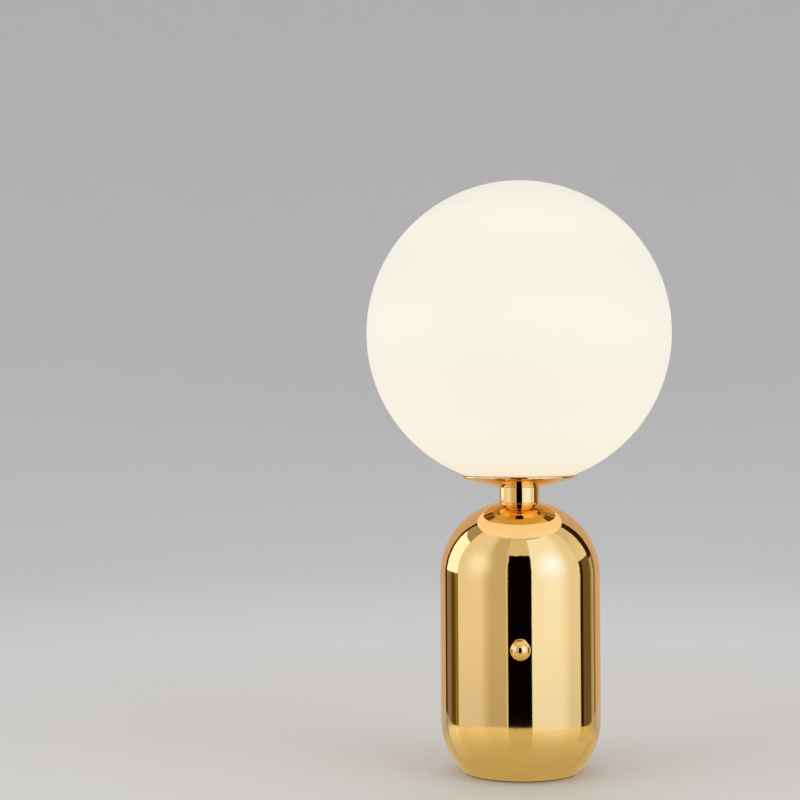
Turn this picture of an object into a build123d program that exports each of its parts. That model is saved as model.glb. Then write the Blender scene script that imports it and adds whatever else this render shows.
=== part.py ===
from build123d import *
import math
import os

# A bedside lamp. A capsule-shaped base of mirror-polished metal carries a short neck and a
# shallow dish, and a round opal glass shade stands in the dish. A ball knob on the front
# dims the light. Lengths are millimetres. The origin is the middle of the foot, on the
# table. +Z is up, and the knob faces -Y.

os.makedirs("parts", exist_ok=True)


def chord(radius, offset):
    """Half the chord of a circle, at an offset from its centre."""
    return math.sqrt(radius**2 - offset**2)


# Clearances and cuts
CUT_OVERRUN = 1.0
SHEET_HOLE_CLEARANCE = 0.2
THREAD_CLEARANCE = 0.05
RUNNING_CLEARANCE = 0.05
SEAT_GAP = 0.3

# Base shell: spun sheet, straight in the middle and rounded alike at both ends
BODY_RADIUS = 65.5
END_RADIUS = 60.5
WALL_HEIGHT = 117.3
FOOT_RADIUS = 47.5
SHELL_SHEET = 1.2
FOOT_LIP = 3.5
CROWN_LAND_RADIUS = 17.0

# Foot pad and bottom plate
PAD_THICKNESS = 1.0
PAD_INSET = 2.5
PLATE_SHEET = 1.2
RECESS_RADIUS = 14.0
RECESS_DEPTH = 7.0
RECESS_TAPER = 1.5

# Centre tube with its nuts and washers
TUBE_RADIUS = 5.0
TUBE_WALL = 1.0
TUBE_FOOT_INSET = 1.6
SLOT_WIDTH = 4.0
SLOT_HEIGHT = 22.0
SLOT_BOTTOM = 60.0
NUT_ACROSS_FLATS = 14.0
NUT_HEIGHT = 4.0
NUT_CHAMFER = 0.5
WASHER_RADIUS = 9.5
WASHER_THICKNESS = 1.0

# Base weight
WEIGHT_HEIGHT = 36.0
WEIGHT_GAP = 0.6
WEIGHT_EDGE = 3.0
WEIGHT_POCKET_GAP = 1.0

# Neck collar
NECK_RADIUS = 16.6
NECK_HEIGHT = 12.8
NECK_EDGE = 0.4

# Shade: a globe with a hole at its underside
GLOBE_RADIUS = 125.0
GLOBE_WALL = 2.5
GLOBE_HOLE_RADIUS = 42.0
GLOBE_HOLE_EDGE = 0.8

# Dish and gasket under the shade
DISH_RADIUS = 47.5
DISH_SHEET = 1.2
DISH_EDGE = 0.3
DISH_LAND_MARGIN = 0.2
GASKET_THICKNESS = 0.6
GASKET_TAPE = 0.3
GASKET_INSET = 1.0
GASKET_WIDTH = 5.5

# Clip carrier with its three leaf springs
CARRIER_RADIUS = 31.0
CARRIER_SHEET = 1.2
CARRIER_WINDOWS = 3
CARRIER_WINDOW_RADIUS = 4.5
CARRIER_WINDOW_CIRCLE = 21.0
SPACER_RADIUS = 12.0
CLIP_COUNT = 3
CLIP_WIDTH = 9.0
CLIP_SHEET = 0.5
CLIP_FOOT_START = 20.0
CLIP_FOOT_END = 31.5
CLIP_GRIP_DROP = 1.2
CLIP_GRIP_RISE = 2.6
CLIP_TIP_RISE = 5.5
CLIP_TIP_INSET = 4.5
CLIP_BEND = 1.0
RIVET_CIRCLE = 26.0
RIVET_RADIUS = 1.6
RIVET_HEAD_RADIUS = 2.8
RIVET_HEAD_HEIGHT = 0.9

# Lampholder
HOLDER_RADIUS = 20.5
HOLDER_WALL = 2.0
HOLDER_BOSS_RADIUS = 8.5
HOLDER_BOSS_HEIGHT = 8.0
HOLDER_FLARE_HEIGHT = 7.0
HOLDER_CAP_HEIGHT = 27.0
HOLDER_SHOULDER = 1.6
HOLDER_SHOULDER_DROP = 4.0
HOLDER_BODY_HEIGHT = 29.0
HOLDER_RIM = 1.5
HOLDER_GRIPS = 12
HOLDER_GRIP_RADIUS = 1.2
INSERT_HEIGHT = 9.0
SCREW_SHELL_RADIUS = 14.4
SCREW_SHELL_SHEET = 0.5
SCREW_SHELL_HEIGHT = 22.0
SCREW_SHELL_MOUTH = 8.0
CONTACT_WIDTH = 4.0
CONTACT_SHEET = 0.4
CONTACT_RISE = 3.2
CONTACT_REACH = 6.5
CONTACT_TIP = 1.5
CONTACT_BEND = 0.6
CONTACT_FOOT = 3.0
TERMINAL_WIDTH = 6.0
TERMINAL_LENGTH = 8.0
TERMINAL_HEIGHT = 4.5
TERMINAL_OFFSET = 8.5
TERMINAL_STEM_RADIUS = 0.9

# Bulb: a screw-cap LED lamp
BULB_RADIUS = 30.0
BULB_LENGTH = 106.0
BULB_TIP_HEIGHT = 1.5
BULB_TIP_RADIUS = 3.6
BULB_INSULATOR_HEIGHT = 5.0
BULB_INSULATOR_RADIUS = 7.0
BULB_CAP_RADIUS = 13.1
BULB_CAP_HEIGHT = 19.0
BULB_CAP_SHEET = 0.4
BULB_COLLAR_RADIUS = 14.5
BULB_DOME_DROP = 8.5
BULB_WALL = 1.5
BULB_HEEL_SHARE = 0.3
BULB_THROAT_SHARE = 0.5
BULB_SHOULDER_SHARE = 0.88
LED_BOARD_THICKNESS = 1.5
LED_BOARD_GAP = 1.0
LED_COUNT = 10
LED_CIRCLE_SHARE = 0.62
LED_SIZE = 3.0
LED_HEIGHT = 0.8
DRIVER_WIDTH = 18.0
DRIVER_LENGTH = 26.0
DRIVER_THICKNESS = 1.6
DRIVER_PART_DEPTH = 6.0

# Dimmer and its ball knob
KNOB_HEIGHT = 108.5
KNOB_RADIUS = 8.0
KNOB_WALL_GAP = 1.2
KNOB_RIM = 0.5
KNOB_NUT_GAP = 0.35
KNOB_BORE_DEPTH = 8.0
KNOB_FIT = 0.03
SHAFT_RADIUS = 3.0
SHAFT_FLAT = 0.5
GRUB_RADIUS = 1.5
GRUB_LENGTH = 4.0
BUSHING_RADIUS = 3.5
BUSHING_PROUD = 0.5
DIMMER_NUT_FLATS = 10.0
DIMMER_NUT_HEIGHT = 2.0
LOCK_WASHER_RADIUS = 6.0
LOCK_WASHER_THICKNESS = 0.6
CAN_RADIUS = 8.5
CAN_DEPTH = 8.5
CAN_SHEET = 0.5
FRONT_PLATE_THICKNESS = 1.2
TRACK_THICKNESS = 1.5
WIPER_THICKNESS = 1.0
WIPER_HUB_RADIUS = 4.5
WIPER_LENGTH = 7.2
WIPER_WIDTH = 3.0
PIN_COUNT = 3
PIN_SPACING = 5.0
PIN_RADIUS = 0.5
PIN_LENGTH = 6.0
BOARD_WIDTH = 36.0
BOARD_HEIGHT = 44.0
BOARD_THICKNESS = 1.6
BOARD_DROP = 17.0
BOARD_CORNER = 2.0
CHOKE_RADIUS = 6.0
CHOKE_WIRE_RADIUS = 2.4
CAPACITOR_SIZE = (13.0, 9.0, 7.0)
TRIAC_SIZE = (10.0, 9.0, 4.4)
TRIAC_TAB = (10.0, 6.0, 1.3)
TRIAC_HOLE_RADIUS = 1.8
FUSE_RADIUS = 2.6
FUSE_LENGTH = 10.0
PART_MARGIN = 2.0
PART_EDGE = 0.5

# Cord inlet at the back
INLET_HEIGHT = 54.0
INLET_BORE_RADIUS = 3.5
INLET_RADIUS = 5.0
INLET_FLANGE_RADIUS = 7.5
INLET_FLANGE_DEPTH = 2.5
INLET_FLANGE_EDGE = 0.8
INLET_TAIL = 8.0
INLET_NUT_FLATS = 14.0
INLET_NUT_HEIGHT = 3.0

# Terminal block and earth tag on the weight
BLOCK_WIDTH = 24.0
BLOCK_DEPTH = 13.0
BLOCK_HEIGHT = 12.0
BLOCK_FRONT = 20.0
BLOCK_WAYS = 3
BLOCK_SPACING = 7.0
BLOCK_BORE_RADIUS = 1.5
BLOCK_SCREW_RADIUS = 1.4
BLOCK_SCREW_DEPTH = 4.0
EARTH_X = 25.0
EARTH_Y = 4.0
EARTH_TAG_RADIUS = 4.0
EARTH_TAG_SHEET = 0.8
EARTH_TAIL_LENGTH = 7.0
EARTH_TAIL_WIDTH = 4.0
EARTH_SCREW_RADIUS = 2.0
EARTH_SCREW_LENGTH = 8.0
EARTH_HEAD_RADIUS = 3.8
EARTH_HEAD_HEIGHT = 2.4
SCREW_SLOT_WIDTH = 0.8
SCREW_SLOT_DEPTH = 0.9

# Leads
LEAD_RADIUS = 1.1
LEAD_OFFSET = 1.7
LEAD_BEND = 4.0
LEAD_BEND_SHARE = 0.35
LEAD_END_GAP = 0.1

# Heights and radii of the base
PLATE_BOTTOM = PAD_THICKNESS
PLATE_TOP = PLATE_BOTTOM + PLATE_SHEET
END_CENTRE = BODY_RADIUS - END_RADIUS
LOWER_SPRING = PLATE_BOTTOM + chord(END_RADIUS, FOOT_RADIUS - END_CENTRE)
UPPER_SPRING = LOWER_SPRING + WALL_HEIGHT
CROWN = UPPER_SPRING + chord(END_RADIUS, CROWN_LAND_RADIUS - END_CENTRE)
INNER_RADIUS = BODY_RADIUS - SHELL_SHEET
INNER_END = END_RADIUS - SHELL_SHEET
SHELL_FOOT_RADIUS = END_CENTRE + chord(END_RADIUS, LOWER_SPRING - PLATE_TOP)
LIP_RADIUS = SHELL_FOOT_RADIUS - FOOT_LIP
LIP_TOP = PLATE_TOP + SHELL_SHEET
LIP_ROOT = END_CENTRE + chord(INNER_END, LOWER_SPRING - LIP_TOP)
CEILING = CROWN - SHELL_SHEET
CEILING_RADIUS = END_CENTRE + chord(INNER_END, CEILING - UPPER_SPRING)
TUBE_HOLE_RADIUS = TUBE_RADIUS + SHEET_HOLE_CLEARANCE
THREAD_HOLE_RADIUS = TUBE_RADIUS + THREAD_CLEARANCE
RECESS_FLOOR = PLATE_BOTTOM + RECESS_DEPTH
WEIGHT_TOP = PLATE_TOP + WEIGHT_HEIGHT
WEIGHT_RADIUS = LIP_RADIUS - WEIGHT_GAP

# Heights and radii of the dish and the shade
DISH_BOTTOM = CROWN + NECK_HEIGHT
DISH_OUTER = GLOBE_RADIUS + SEAT_GAP + GASKET_THICKNESS + GASKET_TAPE + DISH_SHEET
DISH_INNER = DISH_OUTER - DISH_SHEET
DISH_LAND_RADIUS = NECK_RADIUS + DISH_LAND_MARGIN
GLOBE_CENTRE = DISH_BOTTOM + chord(DISH_OUTER, DISH_LAND_RADIUS)
DISH_FLOOR = DISH_BOTTOM + DISH_SHEET
DISH_FLOOR_RADIUS = chord(DISH_INNER, GLOBE_CENTRE - DISH_FLOOR)
GASKET_OUTER = DISH_INNER - GASKET_TAPE
GASKET_INNER = GASKET_OUTER - GASKET_THICKNESS
GASKET_EDGE = DISH_RADIUS - GASKET_INSET
GASKET_HOLE = GASKET_EDGE - GASKET_WIDTH
CARRIER_BOTTOM = GLOBE_CENTRE - chord(DISH_INNER, CARRIER_RADIUS) + SEAT_GAP
CARRIER_TOP = CARRIER_BOTTOM + CARRIER_SHEET
CLIP_REACH = chord(GLOBE_HOLE_RADIUS - SEAT_GAP, CLIP_WIDTH / 2)
HOLE_MIDDLE = GLOBE_CENTRE - chord(GLOBE_RADIUS - GLOBE_WALL / 2, GLOBE_HOLE_RADIUS)

# Heights and radii of the lampholder and the bulb
HOLDER_BOTTOM = CARRIER_TOP + NUT_HEIGHT
HOLDER_FLARE_TOP = HOLDER_BOTTOM + HOLDER_BOSS_HEIGHT + HOLDER_FLARE_HEIGHT
HOLDER_CAP_TOP = HOLDER_BOTTOM + HOLDER_CAP_HEIGHT
HOLDER_INNER = HOLDER_RADIUS - HOLDER_WALL
TUBE_TOP = HOLDER_BOTTOM + HOLDER_BOSS_HEIGHT + HOLDER_WALL + THREAD_CLEARANCE
TUBE_BOTTOM = PLATE_BOTTOM + TUBE_FOOT_INSET
INSERT_BOTTOM = HOLDER_CAP_TOP - HOLDER_SHOULDER_DROP
INSERT_TOP = INSERT_BOTTOM + INSERT_HEIGHT
INSERT_RADIUS = HOLDER_INNER - SHEET_HOLE_CLEARANCE
HOLDER_TOP = HOLDER_CAP_TOP + HOLDER_BODY_HEIGHT
CONTACT_STEM_X = CONTACT_FOOT / 2 - CONTACT_REACH
SHELL_STEM_X = (SCREW_SHELL_MOUTH + SCREW_SHELL_RADIUS) / 2
BULB_TIP = INSERT_TOP + CONTACT_RISE + SEAT_GAP
BULB_INSULATOR_BOTTOM = BULB_TIP + BULB_TIP_HEIGHT
BULB_CAP_BOTTOM = BULB_INSULATOR_BOTTOM + BULB_INSULATOR_HEIGHT
BULB_CAP_TOP = BULB_CAP_BOTTOM + BULB_CAP_HEIGHT
BULB_TOP = BULB_TIP + BULB_LENGTH
BULB_CENTRE = BULB_TOP - BULB_RADIUS
BULB_SEAM = BULB_CENTRE - BULB_DOME_DROP
BULB_SEAM_RADIUS = chord(BULB_RADIUS, BULB_DOME_DROP)
BULB_HOUSING_HEIGHT = BULB_SEAM - BULB_CAP_TOP

# Distances along the knob's axis, outwards from the lamp's axis
WASHER_FRONT = chord(INNER_RADIUS, LOCK_WASHER_RADIUS)
FRONT_PLATE = WASHER_FRONT - LOCK_WASHER_THICKNESS
CAN_FRONT = FRONT_PLATE - FRONT_PLATE_THICKNESS
CAN_BACK = CAN_FRONT - CAN_DEPTH
TRACK_FRONT = CAN_BACK + TRACK_THICKNESS
BUSHING_END = BODY_RADIUS + DIMMER_NUT_HEIGHT + BUSHING_PROUD
SHAFT_START = TRACK_FRONT + WIPER_THICKNESS
KNOB_BACK = BODY_RADIUS + KNOB_WALL_GAP
NUT_POCKET_RADIUS = DIMMER_NUT_FLATS / math.sqrt(3) + KNOB_NUT_GAP
KNOB_BACK_RADIUS = NUT_POCKET_RADIUS + KNOB_RIM
KNOB_CENTRE = KNOB_BACK + chord(KNOB_RADIUS, KNOB_BACK_RADIUS)
NUT_POCKET_END = BUSHING_END + SEAT_GAP
SHAFT_END = NUT_POCKET_END + KNOB_BORE_DEPTH
KNOB_BORE_RADIUS = SHAFT_RADIUS + KNOB_FIT
BOARD_FRONT = CAN_BACK - PIN_LENGTH + BOARD_THICKNESS + PIN_RADIUS
BOARD_BACK = BOARD_FRONT - BOARD_THICKNESS
BOARD_CENTRE = KNOB_HEIGHT - BOARD_DROP

KNOB_AXIS = Axis((0, 0, KNOB_HEIGHT), (0, -1, 0))
KNOB_SECTION = Plane(origin=(0, 0, KNOB_HEIGHT), x_dir=(1, 0, 0), z_dir=(0, 0, -1))
INLET_AXIS = Axis((0, 0, INLET_HEIGHT), (0, 1, 0))
INLET_SECTION = Plane(origin=(0, 0, INLET_HEIGHT), x_dir=(1, 0, 0), z_dir=(0, 0, 1))


def facing_front(distance, height=KNOB_HEIGHT):
    """Plane square to the knob's axis, facing outwards, at a distance from the lamp's axis."""
    return Plane(origin=(0, -distance, height), x_dir=(1, 0, 0), z_dir=(0, -1, 0))


def facing_back(distance, height=INLET_HEIGHT):
    """Plane square to the inlet's axis, facing outwards, at a distance from the lamp's axis."""
    return Plane(origin=(0, distance, height), x_dir=(-1, 0, 0), z_dir=(0, 1, 0))


# Foot pad
with BuildPart() as foot_pad:
    with BuildSketch(Plane.XY):
        Circle(FOOT_RADIUS - PAD_INSET)
    extrude(amount=PAD_THICKNESS)
foot_pad.part.label = "foot_pad"
export_step(foot_pad.part, "parts/foot_pad.step")

# Bottom plate: its edge carries on the curve of the foot, and a drawn recess takes the nut
with BuildPart() as bottom_plate:
    with BuildSketch(Plane.XZ):
        with BuildLine():
            Polyline(
                (TUBE_HOLE_RADIUS, RECESS_FLOOR),
                (RECESS_RADIUS, RECESS_FLOOR),
                (RECESS_RADIUS + RECESS_TAPER, PLATE_BOTTOM),
                (FOOT_RADIUS, PLATE_BOTTOM),
                (SHELL_FOOT_RADIUS, PLATE_TOP),
                (RECESS_RADIUS + RECESS_TAPER + PLATE_SHEET, PLATE_TOP),
                (RECESS_RADIUS + PLATE_SHEET, RECESS_FLOOR + PLATE_SHEET),
                (TUBE_HOLE_RADIUS, RECESS_FLOOR + PLATE_SHEET),
                close=True,
            )
        make_face()
    revolve(axis=Axis.Z)
bottom_plate.part.label = "bottom_plate"
export_step(bottom_plate.part, "parts/bottom_plate.step")

# Base weight: a cast ring that stands on the plate, inside the shell
with BuildPart() as base_weight:
    with BuildSketch(Plane.XZ):
        with BuildLine():
            Polyline(
                (RECESS_RADIUS + RECESS_TAPER + PLATE_SHEET + WEIGHT_POCKET_GAP, PLATE_TOP),
                (WEIGHT_RADIUS, PLATE_TOP),
                (WEIGHT_RADIUS, WEIGHT_TOP - WEIGHT_EDGE),
                (WEIGHT_RADIUS - WEIGHT_EDGE, WEIGHT_TOP),
                (TUBE_HOLE_RADIUS, WEIGHT_TOP),
                (TUBE_HOLE_RADIUS, RECESS_FLOOR + PLATE_SHEET),
                (
                    RECESS_RADIUS + PLATE_SHEET + WEIGHT_POCKET_GAP,
                    RECESS_FLOOR + PLATE_SHEET,
                ),
                close=True,
            )
        make_face()
    revolve(axis=Axis.Z)
    with Locations((EARTH_X, EARTH_Y, WEIGHT_TOP)):
        Hole(radius=EARTH_SCREW_RADIUS + THREAD_CLEARANCE, depth=EARTH_SCREW_LENGTH)
base_weight.part.label = "base_weight"
export_step(base_weight.part, "parts/base_weight.step")

# Base shell: a capsule with a turned-in lip at the foot and a flat land at the crown
with BuildPart() as base_shell:
    with BuildSketch(Plane.XZ):
        with BuildLine():
            lip = Polyline(
                (LIP_ROOT, LIP_TOP),
                (LIP_RADIUS, LIP_TOP),
                (LIP_RADIUS, PLATE_TOP),
                (SHELL_FOOT_RADIUS, PLATE_TOP),
            )
            foot_curve = RadiusArc(lip @ 1, (BODY_RADIUS, LOWER_SPRING), -END_RADIUS)
            wall = Line(foot_curve @ 1, (BODY_RADIUS, UPPER_SPRING))
            shoulder = RadiusArc(wall @ 1, (CROWN_LAND_RADIUS, CROWN), -END_RADIUS)
            land = Polyline(
                shoulder @ 1,
                (TUBE_HOLE_RADIUS, CROWN),
                (TUBE_HOLE_RADIUS, CEILING),
                (CEILING_RADIUS, CEILING),
            )
            inner_shoulder = RadiusArc(land @ 1, (INNER_RADIUS, UPPER_SPRING), INNER_END)
            inner_wall = Line(inner_shoulder @ 1, (INNER_RADIUS, LOWER_SPRING))
            RadiusArc(inner_wall @ 1, lip @ 0, INNER_END)
        make_face()
    revolve(axis=Axis.Z)
    with BuildSketch(facing_front(INNER_RADIUS - CUT_OVERRUN)):
        Circle(BUSHING_RADIUS + SHEET_HOLE_CLEARANCE)
    extrude(amount=SHELL_SHEET + 2 * CUT_OVERRUN, mode=Mode.SUBTRACT)
    with BuildSketch(facing_back(INNER_RADIUS - CUT_OVERRUN)):
        Circle(INLET_RADIUS + SHEET_HOLE_CLEARANCE)
    extrude(amount=SHELL_SHEET + 2 * CUT_OVERRUN, mode=Mode.SUBTRACT)
base_shell.part.label = "base_shell"
export_step(base_shell.part, "parts/base_shell.step")

# Centre tube: threaded rod with a bore for the leads and a slot that lets them in
with BuildPart() as centre_tube:
    with BuildSketch(Plane.XY.offset(TUBE_BOTTOM)):
        Circle(TUBE_RADIUS)
        Circle(TUBE_RADIUS - TUBE_WALL, mode=Mode.SUBTRACT)
    extrude(amount=TUBE_TOP - TUBE_BOTTOM)
    with BuildSketch(Plane.XZ):
        with Locations((0, SLOT_BOTTOM + SLOT_HEIGHT / 2)):
            SlotOverall(SLOT_HEIGHT, SLOT_WIDTH, rotation=90)
    extrude(amount=TUBE_RADIUS + CUT_OVERRUN, both=True, mode=Mode.SUBTRACT)
centre_tube.part.label = "centre_tube"
export_step(centre_tube.part, "parts/centre_tube.step")

# Washer and nut in the recess of the bottom plate
with BuildPart() as tube_washer:
    with BuildSketch(Plane.XY.offset(RECESS_FLOOR - WASHER_THICKNESS)):
        Circle(WASHER_RADIUS)
        Circle(TUBE_HOLE_RADIUS, mode=Mode.SUBTRACT)
    extrude(amount=WASHER_THICKNESS)
tube_washer.part.label = "tube_washer"
export_step(tube_washer.part, "parts/tube_washer.step")

with BuildPart() as tube_nut:
    with BuildSketch(Plane.XY.offset(RECESS_FLOOR - WASHER_THICKNESS)):
        RegularPolygon(radius=NUT_ACROSS_FLATS / math.sqrt(3), side_count=6)
        Circle(THREAD_HOLE_RADIUS, mode=Mode.SUBTRACT)
    extrude(amount=-NUT_HEIGHT)
    chamfer(tube_nut.edges().group_by(Axis.Z)[0].filter_by(GeomType.LINE), NUT_CHAMFER)
tube_nut.part.label = "tube_nut"
export_step(tube_nut.part, "parts/tube_nut.step")

# Neck collar: a turned ring between the crown and the dish
with BuildPart() as neck_collar:
    with BuildSketch(Plane.XY.offset(CROWN)):
        Circle(NECK_RADIUS)
        Circle(TUBE_HOLE_RADIUS, mode=Mode.SUBTRACT)
    extrude(amount=NECK_HEIGHT)
    chamfer(neck_collar.faces().sort_by(SortBy.AREA)[-1].edges(), NECK_EDGE)
neck_collar.part.label = "neck_collar"
export_step(neck_collar.part, "parts/neck_collar.step")

# Shade dish: a flat land on the neck, then a shallow bowl on the same centre as the shade
with BuildPart() as shade_dish:
    with BuildSketch(Plane.XZ) as dish_profile:
        with BuildLine():
            floor = Polyline(
                (DISH_FLOOR_RADIUS, DISH_FLOOR),
                (TUBE_HOLE_RADIUS, DISH_FLOOR),
                (TUBE_HOLE_RADIUS, DISH_BOTTOM),
                (DISH_LAND_RADIUS, DISH_BOTTOM),
            )
            bowl = RadiusArc(
                floor @ 1,
                (DISH_RADIUS, GLOBE_CENTRE - chord(DISH_OUTER, DISH_RADIUS)),
                -DISH_OUTER,
            )
            rim = Line(bowl @ 1, (DISH_RADIUS, GLOBE_CENTRE - chord(DISH_INNER, DISH_RADIUS)))
            RadiusArc(rim @ 1, floor @ 0, DISH_INNER)
        make_face()
        fillet(dish_profile.vertices().group_by(Axis.X)[-1], DISH_EDGE)
    revolve(axis=Axis.Z)
shade_dish.part.label = "shade_dish"
export_step(shade_dish.part, "parts/shade_dish.step")

# Gasket: a thin ring taped in the dish, under the edge of the shade
with BuildPart() as shade_gasket:
    with BuildSketch(Plane.XZ):
        with BuildLine():
            taped_side = RadiusArc(
                (GASKET_HOLE, GLOBE_CENTRE - chord(GASKET_OUTER, GASKET_HOLE)),
                (GASKET_EDGE, GLOBE_CENTRE - chord(GASKET_OUTER, GASKET_EDGE)),
                -GASKET_OUTER,
            )
            edge = Line(
                taped_side @ 1,
                (GASKET_EDGE, GLOBE_CENTRE - chord(GASKET_INNER, GASKET_EDGE)),
            )
            seat = RadiusArc(
                edge @ 1,
                (GASKET_HOLE, GLOBE_CENTRE - chord(GASKET_INNER, GASKET_HOLE)),
                GASKET_INNER,
            )
            Line(seat @ 1, taped_side @ 0)
        make_face()
    revolve(axis=Axis.Z)
shade_gasket.part.label = "shade_gasket"
export_step(shade_gasket.part, "parts/shade_gasket.step")

# Shade globe: a blown opal shell with a fire-polished edge round its hole
with BuildPart() as shade_globe:
    with BuildSketch(Plane.XZ) as globe_profile:
        with BuildLine():
            outer_low = RadiusArc(
                (GLOBE_HOLE_RADIUS, GLOBE_CENTRE - chord(GLOBE_RADIUS, GLOBE_HOLE_RADIUS)),
                (GLOBE_RADIUS, GLOBE_CENTRE),
                -GLOBE_RADIUS,
            )
            outer_high = RadiusArc(outer_low @ 1, (0, GLOBE_CENTRE + GLOBE_RADIUS), -GLOBE_RADIUS)
            inner_radius = GLOBE_RADIUS - GLOBE_WALL
            top = Line(outer_high @ 1, (0, GLOBE_CENTRE + inner_radius))
            inner_high = RadiusArc(top @ 1, (inner_radius, GLOBE_CENTRE), inner_radius)
            inner_low = RadiusArc(
                inner_high @ 1,
                (GLOBE_HOLE_RADIUS, GLOBE_CENTRE - chord(inner_radius, GLOBE_HOLE_RADIUS)),
                inner_radius,
            )
            Line(inner_low @ 1, outer_low @ 0)
        make_face()
        fillet(globe_profile.vertices().group_by(Axis.X)[1], GLOBE_HOLE_EDGE)
    revolve(axis=Axis.Z)
shade_globe.part.label = "shade_globe"
export_step(shade_globe.part, "parts/shade_globe.step")

# Spacer that lifts the clip carrier clear of the bowl
with BuildPart() as dish_spacer:
    with BuildSketch(Plane.XY.offset(DISH_FLOOR)):
        Circle(SPACER_RADIUS)
        Circle(TUBE_HOLE_RADIUS, mode=Mode.SUBTRACT)
    extrude(amount=CARRIER_BOTTOM - DISH_FLOOR)
dish_spacer.part.label = "dish_spacer"
export_step(dish_spacer.part, "parts/dish_spacer.step")

# Clip carrier: a disc with three windows, and a rivet hole for each clip
with BuildPart() as clip_carrier:
    with BuildSketch(Plane.XY.offset(CARRIER_BOTTOM)):
        Circle(CARRIER_RADIUS)
        Circle(TUBE_HOLE_RADIUS, mode=Mode.SUBTRACT)
        with PolarLocations(RIVET_CIRCLE, CLIP_COUNT, start_angle=90):
            Circle(RIVET_RADIUS, mode=Mode.SUBTRACT)
        with PolarLocations(CARRIER_WINDOW_CIRCLE, CARRIER_WINDOWS, start_angle=-90):
            Circle(CARRIER_WINDOW_RADIUS, mode=Mode.SUBTRACT)
    extrude(amount=CARRIER_SHEET)
clip_carrier.part.label = "clip_carrier"
export_step(clip_carrier.part, "parts/clip_carrier.step")

# Clip springs: leaf springs that press outwards on the edge of the shade's hole
for index in range(CLIP_COUNT):
    turn = 90 + index * 360 / CLIP_COUNT
    side = Plane(
        origin=(0, 0, 0),
        x_dir=(math.cos(math.radians(turn)), math.sin(math.radians(turn)), 0),
        z_dir=(math.sin(math.radians(turn)), -math.cos(math.radians(turn)), 0),
    )
    with BuildPart() as clip_spring:
        with BuildSketch(side):
            with BuildLine():
                FilletPolyline(
                    (CLIP_FOOT_START, CARRIER_TOP),
                    (CLIP_FOOT_END, CARRIER_TOP),
                    (CLIP_REACH, HOLE_MIDDLE - CLIP_GRIP_DROP),
                    (CLIP_REACH, HOLE_MIDDLE + CLIP_GRIP_RISE),
                    (
                        CLIP_REACH - CLIP_TIP_INSET,
                        HOLE_MIDDLE + CLIP_GRIP_RISE + CLIP_TIP_RISE,
                    ),
                    radius=CLIP_BEND,
                )
                offset(amount=CLIP_SHEET, side=Side.LEFT)
            make_face()
        extrude(amount=CLIP_WIDTH / 2, both=True)
        with BuildSketch(Plane.XY.offset(CARRIER_TOP - CUT_OVERRUN)):
            with PolarLocations(RIVET_CIRCLE, 1, start_angle=turn):
                Circle(RIVET_RADIUS)
        extrude(amount=CLIP_SHEET + 2 * CUT_OVERRUN, mode=Mode.SUBTRACT)
    clip_spring.part.label = f"clip_spring_{index + 1}"
    export_step(clip_spring.part, f"parts/clip_spring_{index + 1}.step")

# Clip rivets
with BuildPart() as clip_rivets:
    with BuildSketch(Plane.XY.offset(CARRIER_BOTTOM)):
        with PolarLocations(RIVET_CIRCLE, CLIP_COUNT, start_angle=90):
            Circle(RIVET_RADIUS)
    extrude(amount=CARRIER_SHEET + CLIP_SHEET)
    with BuildSketch(Plane.XY.offset(CARRIER_TOP + CLIP_SHEET)):
        with PolarLocations(RIVET_CIRCLE, CLIP_COUNT, start_angle=90):
            Circle(RIVET_HEAD_RADIUS)
    extrude(amount=RIVET_HEAD_HEIGHT)
    fillet(clip_rivets.edges().group_by(Axis.Z)[-1], RIVET_HEAD_HEIGHT / 2)
clip_rivets.part.label = "clip_rivets"
export_step(clip_rivets.part, "parts/clip_rivets.step")

# Dish nut: clamps the whole stack on the tube
with BuildPart() as dish_nut:
    with BuildSketch(Plane.XY.offset(CARRIER_TOP)):
        RegularPolygon(radius=NUT_ACROSS_FLATS / math.sqrt(3), side_count=6)
        Circle(THREAD_HOLE_RADIUS, mode=Mode.SUBTRACT)
    extrude(amount=NUT_HEIGHT)
    chamfer(dish_nut.edges().group_by(Axis.Z)[-1].filter_by(GeomType.LINE), NUT_CHAMFER)
dish_nut.part.label = "dish_nut"
export_step(dish_nut.part, "parts/dish_nut.step")

# Lampholder cap: a boss on the tube, a flare, and a shoulder that the insert sits on
with BuildPart() as lampholder_cap:
    with BuildSketch(Plane.XZ):
        with BuildLine():
            boss_top = HOLDER_BOTTOM + HOLDER_BOSS_HEIGHT
            Polyline(
                (THREAD_HOLE_RADIUS, HOLDER_BOTTOM),
                (HOLDER_BOSS_RADIUS, HOLDER_BOTTOM),
                (HOLDER_BOSS_RADIUS, boss_top),
                (HOLDER_RADIUS, HOLDER_FLARE_TOP),
                (HOLDER_RADIUS, HOLDER_CAP_TOP),
                (HOLDER_INNER, HOLDER_CAP_TOP),
                (HOLDER_INNER, INSERT_BOTTOM),
                (HOLDER_INNER - HOLDER_SHOULDER, INSERT_BOTTOM),
                (HOLDER_INNER - HOLDER_SHOULDER, HOLDER_FLARE_TOP + HOLDER_WALL / 2),
                (HOLDER_BOSS_RADIUS - HOLDER_WALL / 2, boss_top + HOLDER_WALL),
                (THREAD_HOLE_RADIUS, boss_top + HOLDER_WALL),
                close=True,
            )
        make_face()
    revolve(axis=Axis.Z)
lampholder_cap.part.label = "lampholder_cap"
export_step(lampholder_cap.part, "parts/lampholder_cap.step")

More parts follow.
